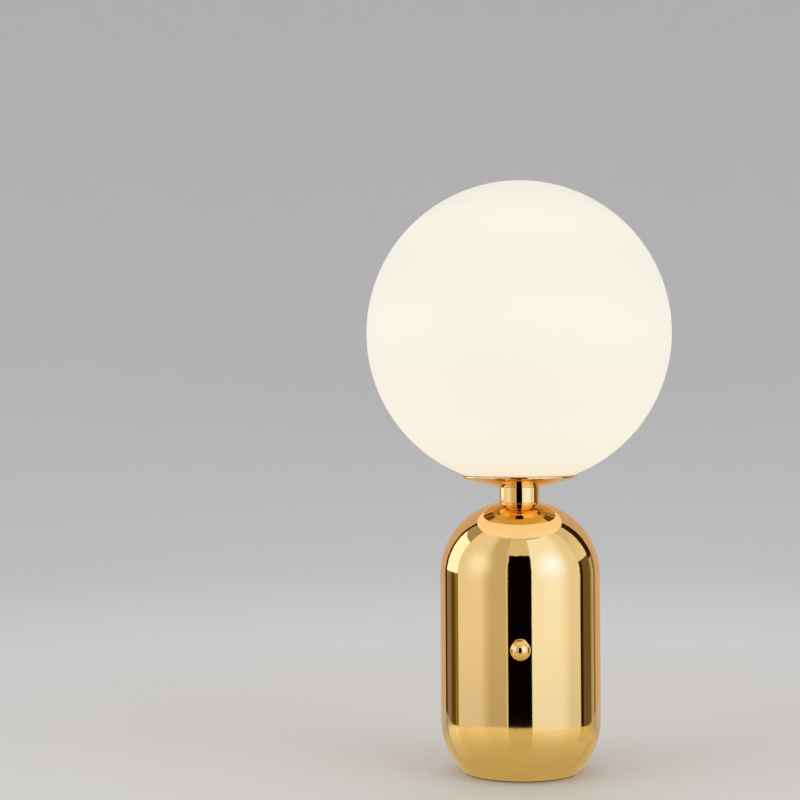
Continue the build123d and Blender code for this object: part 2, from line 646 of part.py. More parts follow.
# Lampholder insert: a ceramic puck with holes for the two terminal stems
with BuildPart() as lampholder_insert:
    with BuildSketch(Plane.XY.offset(INSERT_BOTTOM)):
        Circle(INSERT_RADIUS)
        with Locations((CONTACT_STEM_X, 0), (SHELL_STEM_X, 0)):
            Circle(TERMINAL_STEM_RADIUS + THREAD_CLEARANCE, mode=Mode.SUBTRACT)
    extrude(amount=INSERT_HEIGHT)
lampholder_insert.part.label = "lampholder_insert"
export_step(lampholder_insert.part, "parts/lampholder_insert.step")

# Lampholder body: a sleeve with grip flutes and a rim turned in at the mouth
with BuildPart() as lampholder_body:
    with BuildSketch(Plane.XY.offset(HOLDER_CAP_TOP)):
        Circle(HOLDER_RADIUS)
        with PolarLocations(HOLDER_RADIUS, HOLDER_GRIPS):
            Circle(HOLDER_GRIP_RADIUS, mode=Mode.SUBTRACT)
        Circle(HOLDER_INNER, mode=Mode.SUBTRACT)
    extrude(amount=HOLDER_BODY_HEIGHT - HOLDER_RIM)
    with BuildSketch(Plane.XY.offset(HOLDER_TOP - HOLDER_RIM)):
        Circle(HOLDER_RADIUS)
        Circle(SCREW_SHELL_RADIUS + SEAT_GAP, mode=Mode.SUBTRACT)
    extrude(amount=HOLDER_RIM)
lampholder_body.part.label = "lampholder_body"
export_step(lampholder_body.part, "parts/lampholder_body.step")

# Screw shell of the lampholder, with the stem of its terminal
with BuildPart() as screw_shell:
    with BuildSketch(Plane.XZ):
        with BuildLine():
            Polyline(
                (SCREW_SHELL_MOUTH, INSERT_TOP),
                (SCREW_SHELL_RADIUS, INSERT_TOP),
                (SCREW_SHELL_RADIUS, INSERT_TOP + SCREW_SHELL_HEIGHT),
                (SCREW_SHELL_RADIUS - SCREW_SHELL_SHEET, INSERT_TOP + SCREW_SHELL_HEIGHT),
                (SCREW_SHELL_RADIUS - SCREW_SHELL_SHEET, INSERT_TOP + SCREW_SHELL_SHEET),
                (SCREW_SHELL_MOUTH, INSERT_TOP + SCREW_SHELL_SHEET),
                close=True,
            )
        make_face()
    revolve(axis=Axis.Z)
    with BuildSketch(Plane.XY.offset(INSERT_TOP)):
        with Locations((SHELL_STEM_X, 0)):
            Circle(TERMINAL_STEM_RADIUS)
    extrude(amount=-INSERT_HEIGHT)
screw_shell.part.label = "screw_shell"
export_step(screw_shell.part, "parts/screw_shell.step")

# Centre contact: a springy tongue, with the stem of its terminal
with BuildPart() as centre_contact:
    with BuildSketch(Plane.XZ):
        with BuildLine():
            FilletPolyline(
                (-CONTACT_REACH, INSERT_TOP),
                (-CONTACT_REACH + CONTACT_FOOT, INSERT_TOP),
                (-CONTACT_TIP, INSERT_TOP + CONTACT_RISE - CONTACT_SHEET),
                (CONTACT_TIP, INSERT_TOP + CONTACT_RISE - CONTACT_SHEET),
                (CONTACT_REACH - CONTACT_FOOT, INSERT_TOP + CONTACT_RISE / 2),
                radius=CONTACT_BEND,
            )
            offset(amount=CONTACT_SHEET, side=Side.LEFT)
        make_face()
    extrude(amount=CONTACT_WIDTH / 2, both=True)
    with BuildSketch(Plane.XY.offset(INSERT_TOP)):
        with Locations((CONTACT_STEM_X, 0)):
            Circle(TERMINAL_STEM_RADIUS)
    extrude(amount=-INSERT_HEIGHT)
centre_contact.part.label = "centre_contact"
export_step(centre_contact.part, "parts/centre_contact.step")

# Lampholder terminals: two brass blocks under the insert
with BuildPart() as lampholder_terminals:
    with BuildSketch(Plane.XY.offset(INSERT_BOTTOM)):
        with GridLocations(2 * TERMINAL_OFFSET, 0, 2, 1):
            Rectangle(TERMINAL_LENGTH, TERMINAL_WIDTH)
    extrude(amount=-TERMINAL_HEIGHT)
    chamfer(lampholder_terminals.edges().filter_by(Axis.Z), NUT_CHAMFER)
lampholder_terminals.part.label = "lampholder_terminals"
export_step(lampholder_terminals.part, "parts/lampholder_terminals.step")

# Bulb contact: the tip of the bulb
with BuildPart() as bulb_contact:
    with BuildSketch(Plane.XY.offset(BULB_TIP)):
        Circle(BULB_TIP_RADIUS)
    extrude(amount=BULB_TIP_HEIGHT)
    fillet(bulb_contact.edges().group_by(Axis.Z)[0], BULB_TIP_HEIGHT / 2)
bulb_contact.part.label = "bulb_contact"
export_step(bulb_contact.part, "parts/bulb_contact.step")

# Bulb insulator: a cone between the tip and the screw cap
with BuildPart() as bulb_insulator:
    with BuildSketch(Plane.XY.offset(BULB_INSULATOR_BOTTOM)):
        Circle(BULB_INSULATOR_RADIUS)
    with BuildSketch(Plane.XY.offset(BULB_CAP_BOTTOM)):
        Circle(BULB_CAP_RADIUS - BULB_CAP_SHEET)
    loft()
bulb_insulator.part.label = "bulb_insulator"
export_step(bulb_insulator.part, "parts/bulb_insulator.step")

# Bulb screw cap: a thin sleeve
with BuildPart() as bulb_cap:
    with BuildSketch(Plane.XY.offset(BULB_CAP_BOTTOM)):
        Circle(BULB_CAP_RADIUS)
        Circle(BULB_CAP_RADIUS - BULB_CAP_SHEET, mode=Mode.SUBTRACT)
    extrude(amount=BULB_CAP_HEIGHT)
bulb_cap.part.label = "bulb_cap"
export_step(bulb_cap.part, "parts/bulb_cap.step")

# Bulb housing: a flared cup with an even wall
with BuildPart() as bulb_housing:
    with BuildSketch(Plane.XZ):
        with BuildLine():
            flare = Bezier(
                (BULB_COLLAR_RADIUS, BULB_CAP_TOP),
                (BULB_COLLAR_RADIUS, BULB_CAP_TOP + BULB_HEEL_SHARE * BULB_HOUSING_HEIGHT),
                (
                    BULB_SEAM_RADIUS * BULB_SHOULDER_SHARE,
                    BULB_CAP_TOP + BULB_THROAT_SHARE * BULB_HOUSING_HEIGHT,
                ),
                (BULB_SEAM_RADIUS, BULB_SEAM),
            )
            Polyline(flare @ 1, (0, BULB_SEAM), (0, BULB_CAP_TOP), flare @ 0)
        make_face()
    revolve(axis=Axis.Z)
    offset(amount=-BULB_WALL, openings=bulb_housing.faces().filter_by(GeomType.PLANE))
bulb_housing.part.label = "bulb_housing"
export_step(bulb_housing.part, "parts/bulb_housing.step")

# Bulb LED board with its LEDs, on the mouth of the housing
LED_BOARD_RADIUS = BULB_SEAM_RADIUS - BULB_WALL - LED_BOARD_GAP
LED_CIRCLE = LED_BOARD_RADIUS * LED_CIRCLE_SHARE
with BuildPart() as bulb_led_board:
    with BuildSketch(Plane.XY.offset(BULB_SEAM - LED_BOARD_THICKNESS)):
        Circle(LED_BOARD_RADIUS)
    extrude(amount=LED_BOARD_THICKNESS)
bulb_led_board.part.label = "bulb_led_board"
export_step(bulb_led_board.part, "parts/bulb_led_board.step")

with BuildPart() as bulb_leds:
    with BuildSketch(Plane.XY.offset(BULB_SEAM)):
        with PolarLocations(LED_CIRCLE, LED_COUNT):
            Rectangle(LED_SIZE, LED_SIZE)
    extrude(amount=LED_HEIGHT)
bulb_leds.part.label = "bulb_leds"
export_step(bulb_leds.part, "parts/bulb_leds.step")

# Bulb driver: a small upright board with one tall component, hung under the LED board
with BuildPart() as bulb_driver:
    with BuildSketch(Plane.XY.offset(BULB_SEAM - LED_BOARD_THICKNESS)):
        Rectangle(DRIVER_WIDTH, DRIVER_THICKNESS)
    extrude(amount=-DRIVER_LENGTH)
    with BuildSketch(Plane.XZ.offset(DRIVER_THICKNESS / 2)):
        with Locations((0, BULB_SEAM - LED_BOARD_THICKNESS - DRIVER_LENGTH / 2)):
            Rectangle(DRIVER_WIDTH / 2, DRIVER_LENGTH / 2)
    extrude(amount=DRIVER_PART_DEPTH)
bulb_driver.part.label = "bulb_driver"
export_step(bulb_driver.part, "parts/bulb_driver.step")

# Bulb dome: the light-spreading cover
with BuildPart() as bulb_dome:
    with BuildSketch(Plane.XZ):
        with BuildLine():
            dome_inner = BULB_RADIUS - BULB_WALL
            outside_low = RadiusArc(
                (BULB_SEAM_RADIUS, BULB_SEAM), (BULB_RADIUS, BULB_CENTRE), -BULB_RADIUS
            )
            outside = RadiusArc(outside_low @ 1, (0, BULB_TOP), -BULB_RADIUS)
            top = Line(outside @ 1, (0, BULB_TOP - BULB_WALL))
            inside = RadiusArc(top @ 1, (dome_inner, BULB_CENTRE), dome_inner)
            inside_low = RadiusArc(
                inside @ 1, (chord(dome_inner, BULB_DOME_DROP), BULB_SEAM), dome_inner
            )
            Line(inside_low @ 1, outside_low @ 0)
        make_face()
    revolve(axis=Axis.Z)
bulb_dome.part.label = "bulb_dome"
export_step(bulb_dome.part, "parts/bulb_dome.step")

# Dimmer front plate with its threaded bushing
with BuildPart() as dimmer_bushing:
    with BuildSketch(facing_front(CAN_FRONT)):
        Circle(CAN_RADIUS)
    extrude(amount=FRONT_PLATE_THICKNESS)
    with BuildSketch(facing_front(CAN_FRONT)):
        Circle(BUSHING_RADIUS)
    extrude(amount=BUSHING_END - CAN_FRONT)
    with BuildSketch(facing_front(CAN_FRONT)):
        Circle(SHAFT_RADIUS + RUNNING_CLEARANCE)
    extrude(amount=BUSHING_END - CAN_FRONT, mode=Mode.SUBTRACT)
dimmer_bushing.part.label = "dimmer_bushing"
export_step(dimmer_bushing.part, "parts/dimmer_bushing.step")

# Dimmer can, with the track plate at its back
with BuildPart() as dimmer_can:
    with BuildSketch(facing_front(CAN_BACK)):
        Circle(CAN_RADIUS)
        Circle(CAN_RADIUS - CAN_SHEET, mode=Mode.SUBTRACT)
    extrude(amount=CAN_DEPTH)
dimmer_can.part.label = "dimmer_can"
export_step(dimmer_can.part, "parts/dimmer_can.step")

with BuildPart() as dimmer_track:
    with BuildSketch(facing_front(CAN_BACK)):
        Circle(CAN_RADIUS - CAN_SHEET - THREAD_CLEARANCE)
    extrude(amount=TRACK_THICKNESS)
dimmer_track.part.label = "dimmer_track"
export_step(dimmer_track.part, "parts/dimmer_track.step")

# Dimmer lock washer and nut, on the two sides of the shell's wall
with BuildPart() as dimmer_lock_washer:
    with BuildSketch(facing_front(FRONT_PLATE)):
        Circle(LOCK_WASHER_RADIUS)
        Circle(BUSHING_RADIUS + SHEET_HOLE_CLEARANCE, mode=Mode.SUBTRACT)
    extrude(amount=LOCK_WASHER_THICKNESS)
dimmer_lock_washer.part.label = "dimmer_lock_washer"
export_step(dimmer_lock_washer.part, "parts/dimmer_lock_washer.step")

with BuildPart() as dimmer_nut:
    with BuildSketch(facing_front(BODY_RADIUS)):
        RegularPolygon(radius=DIMMER_NUT_FLATS / math.sqrt(3), side_count=6)
        Circle(BUSHING_RADIUS + THREAD_CLEARANCE, mode=Mode.SUBTRACT)
    extrude(amount=DIMMER_NUT_HEIGHT)
dimmer_nut.part.label = "dimmer_nut"
export_step(dimmer_nut.part, "parts/dimmer_nut.step")

# Knob shaft: from the wiper to the knob, with a flat for the grub screw
with BuildPart() as knob_shaft:
    with BuildSketch(facing_front(SHAFT_START)):
        Circle(SHAFT_RADIUS)
    extrude(amount=SHAFT_END - SHAFT_START)
    with BuildSketch(facing_front(NUT_POCKET_END)):
        with Locations((0, -SHAFT_RADIUS)):
            Rectangle(2 * SHAFT_RADIUS, 2 * SHAFT_FLAT)
    extrude(amount=SHAFT_END - NUT_POCKET_END, mode=Mode.SUBTRACT)
knob_shaft.part.label = "knob_shaft"
export_step(knob_shaft.part, "parts/knob_shaft.step")

# Dimmer wiper: a hub on the end of the shaft with one arm over the track
with BuildPart() as dimmer_wiper:
    with BuildSketch(facing_front(TRACK_FRONT + SEAT_GAP)):
        Circle(WIPER_HUB_RADIUS)
        with Locations((0, WIPER_LENGTH / 2)):
            Rectangle(WIPER_WIDTH, WIPER_LENGTH)
    extrude(amount=WIPER_THICKNESS - SEAT_GAP)
dimmer_wiper.part.label = "dimmer_wiper"
export_step(dimmer_wiper.part, "parts/dimmer_wiper.step")

# Knob ball: cut flat at the back, hollowed there over the nut, bored for the shaft
with BuildPart() as knob_ball:
    with BuildSketch(KNOB_SECTION):
        with BuildLine():
            bore = Polyline(
                (0, KNOB_CENTRE + KNOB_RADIUS),
                (0, SHAFT_END),
                (KNOB_BORE_RADIUS, SHAFT_END),
                (KNOB_BORE_RADIUS, NUT_POCKET_END),
                (NUT_POCKET_RADIUS, NUT_POCKET_END),
                (NUT_POCKET_RADIUS, KNOB_BACK),
                (KNOB_BACK_RADIUS, KNOB_BACK),
            )
            back = RadiusArc(bore @ 1, (KNOB_RADIUS, KNOB_CENTRE), -KNOB_RADIUS)
            RadiusArc(back @ 1, bore @ 0, -KNOB_RADIUS)
        make_face()
    revolve(axis=KNOB_AXIS)
    with BuildSketch(Plane(origin=(0, -KNOB_CENTRE, KNOB_HEIGHT), z_dir=(0, 0, -1))):
        Circle(GRUB_RADIUS + THREAD_CLEARANCE)
    extrude(amount=KNOB_RADIUS, mode=Mode.SUBTRACT)
knob_ball.part.label = "knob_ball"
export_step(knob_ball.part, "parts/knob_ball.step")

# Knob grub screw, on the flat of the shaft
GRUB_PLANE = Plane(
    origin=(0, -KNOB_CENTRE, KNOB_HEIGHT - SHAFT_RADIUS + SHAFT_FLAT - THREAD_CLEARANCE),
    z_dir=(0, 0, -1),
)
with BuildPart() as knob_grub_screw:
    with BuildSketch(GRUB_PLANE):
        Circle(GRUB_RADIUS)
    extrude(amount=GRUB_LENGTH)
knob_grub_screw.part.label = "knob_grub_screw"
export_step(knob_grub_screw.part, "parts/knob_grub_screw.step")

# Dimmer pins: solder pins from the track plate to the board
with BuildPart() as dimmer_pins:
    with BuildSketch(facing_front(CAN_BACK)):
        with GridLocations(PIN_SPACING, 0, PIN_COUNT, 1):
            Circle(PIN_RADIUS)
    extrude(amount=-PIN_LENGTH)
dimmer_pins.part.label = "dimmer_pins"
export_step(dimmer_pins.part, "parts/dimmer_pins.step")

# Dimmer board, drilled for the pins
with BuildPart() as dimmer_board:
    with BuildSketch(facing_front(BOARD_FRONT, BOARD_CENTRE)):
        RectangleRounded(BOARD_WIDTH, BOARD_HEIGHT, BOARD_CORNER)
        with Locations((0, BOARD_DROP)):
            with GridLocations(PIN_SPACING, 0, PIN_COUNT, 1):
                Circle(PIN_RADIUS + THREAD_CLEARANCE, mode=Mode.SUBTRACT)
    extrude(amount=-BOARD_THICKNESS)
dimmer_board.part.label = "dimmer_board"
export_step(dimmer_board.part, "parts/dimmer_board.step")

# Components on the back of the board, one in each corner
PART_X = BOARD_WIDTH / 2 - PART_MARGIN
PART_Z = BOARD_HEIGHT / 2 - PART_MARGIN
PART_TOP = KNOB_HEIGHT - PIN_RADIUS - PART_MARGIN
CHOKE_REACH = CHOKE_RADIUS + CHOKE_WIRE_RADIUS
with BuildPart() as dimmer_choke:
    with BuildSketch(Plane.XY.offset(BOARD_CENTRE - PART_Z + CHOKE_REACH)):
        with Locations((PART_X - CHOKE_REACH + CHOKE_RADIUS, -BOARD_BACK + CHOKE_WIRE_RADIUS)):
            Circle(CHOKE_WIRE_RADIUS)
    revolve(
        axis=Axis(
            (PART_X - CHOKE_REACH, 0, BOARD_CENTRE - PART_Z + CHOKE_REACH), (0, 1, 0)
        )
    )
dimmer_choke.part.label = "dimmer_choke"
export_step(dimmer_choke.part, "parts/dimmer_choke.step")

with BuildPart() as dimmer_capacitor:
    with BuildSketch(facing_back(-BOARD_BACK, PART_TOP - CAPACITOR_SIZE[1] / 2)):
        with Locations((PART_X - CAPACITOR_SIZE[0] / 2, 0)):
            Rectangle(CAPACITOR_SIZE[0], CAPACITOR_SIZE[1])
    extrude(amount=CAPACITOR_SIZE[2])
    chamfer(dimmer_capacitor.edges().filter_by(Axis.Y), PART_EDGE)
dimmer_capacitor.part.label = "dimmer_capacitor"
export_step(dimmer_capacitor.part, "parts/dimmer_capacitor.step")

TRIAC_PLANE = facing_back(-BOARD_BACK, PART_TOP - TRIAC_TAB[1] - TRIAC_SIZE[1] / 2)
with BuildPart() as dimmer_triac:
    with BuildSketch(TRIAC_PLANE):
        with Locations((TRIAC_SIZE[0] / 2 - PART_X, 0)):
            Rectangle(TRIAC_SIZE[0], TRIAC_SIZE[1])
    extrude(amount=TRIAC_SIZE[2])
    with BuildSketch(TRIAC_PLANE):
        with Locations((TRIAC_TAB[0] / 2 - PART_X, (TRIAC_SIZE[1] + TRIAC_TAB[1]) / 2)):
            Rectangle(TRIAC_TAB[0], TRIAC_TAB[1])
            Circle(TRIAC_HOLE_RADIUS, mode=Mode.SUBTRACT)
    extrude(amount=TRIAC_TAB[2])
dimmer_triac.part.label = "dimmer_triac"
export_step(dimmer_triac.part, "parts/dimmer_triac.step")

with BuildPart() as dimmer_fuse:
    with BuildSketch(Plane.XY.offset(BOARD_CENTRE - PART_Z)):
        with Locations((FUSE_RADIUS - PART_X, -BOARD_BACK + FUSE_RADIUS)):
            Circle(FUSE_RADIUS)
    extrude(amount=FUSE_LENGTH)
    fillet(dimmer_fuse.edges(), PART_EDGE)
dimmer_fuse.part.label = "dimmer_fuse"
export_step(dimmer_fuse.part, "parts/dimmer_fuse.step")

# Inlet bush: a flanged sleeve whose flange is hollowed to sit on the round wall
with BuildPart() as inlet_bush:
    with BuildSketch(INLET_SECTION):
        with BuildLine():
            Polyline(
                (INLET_BORE_RADIUS, INNER_RADIUS - INLET_TAIL),
                (INLET_RADIUS, INNER_RADIUS - INLET_TAIL),
                (INLET_RADIUS, BODY_RADIUS - CUT_OVERRUN),
                (INLET_FLANGE_RADIUS, BODY_RADIUS - CUT_OVERRUN),
                (INLET_FLANGE_RADIUS, BODY_RADIUS + INLET_FLANGE_DEPTH - INLET_FLANGE_EDGE),
                (INLET_FLANGE_RADIUS - INLET_FLANGE_EDGE, BODY_RADIUS + INLET_FLANGE_DEPTH),
                (INLET_BORE_RADIUS, BODY_RADIUS + INLET_FLANGE_DEPTH),
                close=True,
            )
        make_face()
    revolve(axis=INLET_AXIS)
    with BuildSketch(Plane.XY.offset(INLET_HEIGHT - INLET_FLANGE_RADIUS - CUT_OVERRUN)):
        Circle(BODY_RADIUS + THREAD_CLEARANCE)
        Circle(BODY_RADIUS - 2 * CUT_OVERRUN, mode=Mode.SUBTRACT)
    extrude(amount=2 * (INLET_FLANGE_RADIUS + CUT_OVERRUN), mode=Mode.SUBTRACT)
    with BuildSketch(facing_back(BODY_RADIUS - 3 * CUT_OVERRUN)):
        Circle(INLET_RADIUS)
        Circle(INLET_BORE_RADIUS, mode=Mode.SUBTRACT)
    extrude(amount=4 * CUT_OVERRUN)
inlet_bush.part.label = "inlet_bush"
export_step(inlet_bush.part, "parts/inlet_bush.step")

# Inlet locknut, inside the wall
INLET_NUT_FRONT = chord(INNER_RADIUS, INLET_NUT_FLATS / math.sqrt(3))
with BuildPart() as inlet_locknut:
    with BuildSketch(facing_back(INLET_NUT_FRONT)):
        RegularPolygon(radius=INLET_NUT_FLATS / math.sqrt(3), side_count=6)
        Circle(INLET_RADIUS + THREAD_CLEARANCE, mode=Mode.SUBTRACT)
    extrude(amount=-INLET_NUT_HEIGHT)
inlet_locknut.part.label = "inlet_locknut"
export_step(inlet_locknut.part, "parts/inlet_locknut.step")

# Terminal block: three ways, each with a bore for the lead and a screw from above
BLOCK_TOP = WEIGHT_TOP + BLOCK_HEIGHT
BLOCK_BORE_HEIGHT = WEIGHT_TOP + BLOCK_HEIGHT / 3
BLOCK_MIDDLE = BLOCK_FRONT + BLOCK_DEPTH / 2
with BuildPart() as terminal_block:
    with BuildSketch(Plane.XY.offset(WEIGHT_TOP)):
        with Locations((0, BLOCK_MIDDLE)):
            Rectangle(BLOCK_WIDTH, BLOCK_DEPTH)
    extrude(amount=BLOCK_HEIGHT)
    chamfer(terminal_block.edges().group_by(Axis.Z)[-1], PART_EDGE)
    with BuildSketch(facing_back(BLOCK_FRONT - CUT_OVERRUN, BLOCK_BORE_HEIGHT)):
        with GridLocations(BLOCK_SPACING, 0, BLOCK_WAYS, 1):
            Circle(BLOCK_BORE_RADIUS)
    extrude(amount=BLOCK_DEPTH + 2 * CUT_OVERRUN, mode=Mode.SUBTRACT)
    with BuildSketch(Plane.XY.offset(BLOCK_TOP)):
        with Locations((0, BLOCK_MIDDLE)):
            with GridLocations(BLOCK_SPACING, 0, BLOCK_WAYS, 1):
                Circle(BLOCK_SCREW_RADIUS + THREAD_CLEARANCE)
    extrude(amount=-BLOCK_SCREW_DEPTH, mode=Mode.SUBTRACT)
terminal_block.part.label = "terminal_block"
export_step(terminal_block.part, "parts/terminal_block.step")

with BuildPart() as terminal_screws:
    with BuildSketch(Plane.XY.offset(BLOCK_TOP - PART_EDGE)):
        with Locations((0, BLOCK_MIDDLE)):
            with GridLocations(BLOCK_SPACING, 0, BLOCK_WAYS, 1):
                Circle(BLOCK_SCREW_RADIUS)
    extrude(amount=PART_EDGE - BLOCK_SCREW_DEPTH)
    with BuildSketch(Plane.XY.offset(BLOCK_TOP - PART_EDGE)):
        with Locations((0, BLOCK_MIDDLE)):
            with GridLocations(BLOCK_SPACING, 0, BLOCK_WAYS, 1):
                Rectangle(2 * BLOCK_SCREW_RADIUS, SCREW_SLOT_WIDTH)
    extrude(amount=-SCREW_SLOT_DEPTH, mode=Mode.SUBTRACT)
terminal_screws.part.label = "terminal_screws"
export_step(terminal_screws.part, "parts/terminal_screws.step")

# Earth tag and its screw, on the weight
TAG_TAIL_END = EARTH_Y + EARTH_TAG_RADIUS + EARTH_TAIL_LENGTH
with BuildPart() as earth_tag:
    with BuildSketch(Plane.XY.offset(WEIGHT_TOP)):
        with Locations((EARTH_X, EARTH_Y)):
            Circle(EARTH_TAG_RADIUS)
        with Locations((EARTH_X, (EARTH_Y + TAG_TAIL_END) / 2)):
            Rectangle(EARTH_TAIL_WIDTH, TAG_TAIL_END - EARTH_Y)
        with Locations((EARTH_X, EARTH_Y)):
            Circle(EARTH_SCREW_RADIUS + SHEET_HOLE_CLEARANCE, mode=Mode.SUBTRACT)
    extrude(amount=EARTH_TAG_SHEET)
earth_tag.part.label = "earth_tag"
export_step(earth_tag.part, "parts/earth_tag.step")

with BuildPart() as earth_screw:
    with BuildSketch(Plane.XY.offset(WEIGHT_TOP + EARTH_TAG_SHEET)):
        with Locations((EARTH_X, EARTH_Y)):
            Circle(EARTH_HEAD_RADIUS)
    extrude(amount=EARTH_HEAD_HEIGHT)
    fillet(earth_screw.edges().group_by(Axis.Z)[-1], EARTH_HEAD_HEIGHT / 2)
    with BuildSketch(Plane.XY.offset(WEIGHT_TOP + EARTH_TAG_SHEET + EARTH_HEAD_HEIGHT)):
        with Locations((EARTH_X, EARTH_Y)):
            Rectangle(2 * EARTH_HEAD_RADIUS, SCREW_SLOT_WIDTH)
    extrude(amount=-SCREW_SLOT_DEPTH, mode=Mode.SUBTRACT)
    with BuildSketch(Plane.XY.offset(WEIGHT_TOP + EARTH_TAG_SHEET)):
        with Locations((EARTH_X, EARTH_Y)):
            Circle(EARTH_SCREW_RADIUS)
    extrude(amount=SCREW_SLOT_DEPTH - EARTH_SCREW_LENGTH)
earth_screw.part.label = "earth_screw"
export_step(earth_screw.part, "parts/earth_screw.step")

# Leads: straight runs joined by tangent arcs, from the block and the board up the tube
LEAD_TERMINAL = INSERT_BOTTOM - TERMINAL_HEIGHT - LEAD_END_GAP
LEAD_EXIT = TUBE_TOP + LEAD_RADIUS
LEAD_RISE = SLOT_BOTTOM + SLOT_HEIGHT - LEAD_BEND
LEAD_ENTRY = SLOT_BOTTOM + LEAD_BEND
BOARD_LEAD_HEIGHT = BOARD_CENTRE - BOARD_HEIGHT / 2 + 2 * LEAD_BEND
LEAD_ROUTES = {
    "neutral_lead": [
        (0, BLOCK_FRONT - LEAD_END_GAP, BLOCK_BORE_HEIGHT),
        (0, BLOCK_FRONT - 2 * LEAD_BEND, BLOCK_BORE_HEIGHT),
        (0, LEAD_OFFSET, LEAD_RISE),
        (0, LEAD_OFFSET, LEAD_EXIT),
        (TERMINAL_OFFSET, LEAD_OFFSET, LEAD_TERMINAL - LEAD_BEND),
        (TERMINAL_OFFSET, LEAD_OFFSET, LEAD_TERMINAL),
    ],
    "dimmed_lead": [
        (-LEAD_BEND, LEAD_END_GAP - BOARD_BACK, BOARD_LEAD_HEIGHT),
        (-LEAD_BEND, 3 * LEAD_BEND - BOARD_BACK, BOARD_LEAD_HEIGHT),
        (0, -4 * LEAD_BEND, LEAD_ENTRY),
        (0, -LEAD_OFFSET, LEAD_RISE),
        (0, -LEAD_OFFSET, LEAD_EXIT),
        (-TERMINAL_OFFSET, -LEAD_OFFSET, LEAD_TERMINAL - LEAD_BEND),
        (-TERMINAL_OFFSET, -LEAD_OFFSET, LEAD_TERMINAL),
    ],
    "live_lead": [
        (-BLOCK_SPACING, BLOCK_FRONT - LEAD_END_GAP, BLOCK_BORE_HEIGHT),
        (-BLOCK_SPACING, BLOCK_FRONT - 2 * LEAD_BEND, BLOCK_BORE_HEIGHT),
        (-4 * LEAD_BEND, 0, BLOCK_BORE_HEIGHT + LEAD_BEND),
        (-4 * LEAD_BEND, 5 * LEAD_BEND - BOARD_BACK, BOARD_LEAD_HEIGHT - 2 * LEAD_BEND),
        (-2 * LEAD_BEND, 3 * LEAD_BEND - BOARD_BACK, BOARD_LEAD_HEIGHT),
        (-2 * LEAD_BEND, LEAD_END_GAP - BOARD_BACK, BOARD_LEAD_HEIGHT),
    ],
    "earth_lead": [
        (BLOCK_SPACING, BLOCK_FRONT - LEAD_END_GAP, BLOCK_BORE_HEIGHT),
        (BLOCK_SPACING, BLOCK_FRONT - 2 * LEAD_BEND, BLOCK_BORE_HEIGHT),
        (EARTH_X - 2 * LEAD_BEND, TAG_TAIL_END + LEAD_BEND, BLOCK_BORE_HEIGHT + LEAD_BEND),
        (EARTH_X, TAG_TAIL_END, WEIGHT_TOP + EARTH_TAG_SHEET + LEAD_RADIUS + LEAD_END_GAP),
    ],
}


def bend_radii(points):
    """Radius of the arc at each inner point of a route: a share of its shorter run."""
    radii = []
    for before, corner, after in zip(points, points[1:], points[2:]):
        run_in = Vector(*corner) - Vector(*before)
        run_out = Vector(*after) - Vector(*corner)
        half_turn = math.radians(run_in.get_angle(run_out)) / 2
        tangent = LEAD_BEND_SHARE * min(run_in.length, run_out.length)
        radii.append(tangent / math.tan(half_turn))
    return radii


for name, points in LEAD_ROUTES.items():
    radii = bend_radii(points)
    with BuildPart() as lead:
        with BuildLine():
            route = FilletPolyline(*points, radius=radii)
        with BuildSketch(Plane(origin=route @ 0, z_dir=route % 0)):
            Circle(LEAD_RADIUS)
        sweep()
    lead.part.label = name
    export_step(lead.part, f"parts/{name}.step")
    print(name, "length", round(route.length, 1), "radii", [round(radius, 1) for radius in radii])
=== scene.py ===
"""Looks of a bedside lamp: a round opal shade in a shallow dish, on a capsule of gold-plated metal.

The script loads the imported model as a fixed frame, gives every node its finish, adds the pieces
whose detail is finer than the frame's, and sets up a small product studio with a camera in front.
Lengths are metres. +Z is up, and the knob faces -Y.
"""

import logging
import math
from dataclasses import dataclass
from enum import Enum

import bmesh
import bpy
from mathutils import Matrix, Vector


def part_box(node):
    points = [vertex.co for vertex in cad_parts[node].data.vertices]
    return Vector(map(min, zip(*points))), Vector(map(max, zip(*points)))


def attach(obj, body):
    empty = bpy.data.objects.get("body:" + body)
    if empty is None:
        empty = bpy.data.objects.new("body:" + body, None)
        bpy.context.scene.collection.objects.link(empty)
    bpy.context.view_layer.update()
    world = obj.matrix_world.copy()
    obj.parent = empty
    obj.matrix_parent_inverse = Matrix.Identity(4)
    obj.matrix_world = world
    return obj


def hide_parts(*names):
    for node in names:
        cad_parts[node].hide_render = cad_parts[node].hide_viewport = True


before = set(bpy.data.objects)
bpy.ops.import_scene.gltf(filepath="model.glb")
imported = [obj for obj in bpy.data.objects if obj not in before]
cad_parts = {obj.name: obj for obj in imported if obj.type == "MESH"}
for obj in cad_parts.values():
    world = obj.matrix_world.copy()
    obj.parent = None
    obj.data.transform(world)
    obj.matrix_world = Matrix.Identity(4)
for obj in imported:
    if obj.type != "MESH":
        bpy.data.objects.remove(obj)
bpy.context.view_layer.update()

MM = 0.001
FULL_TURN = 2 * math.pi
SHARP_ANGLE = math.radians(32)
MERGE_DISTANCE = 0.001 * MM
TOUCHING = 0.05 * MM

# Nearly all of a mottle lies between these two values
MOTTLE_LOW = 0.3
MOTTLE_HIGH = 0.7

# How many faces go round a small piece, an ordinary one, and one with a wide rim
SMALL_ROUND = 64
ROUND = 96
WIDE_ROUND = 128

Colour = tuple[float, float, float, float]
Place = tuple[float, float, float]
Span = tuple[float, float]
Settings = dict[str | int, object]
Tree = bpy.types.NodeTree
Socket = bpy.types.NodeSocket
Shape = bmesh.types.BMesh

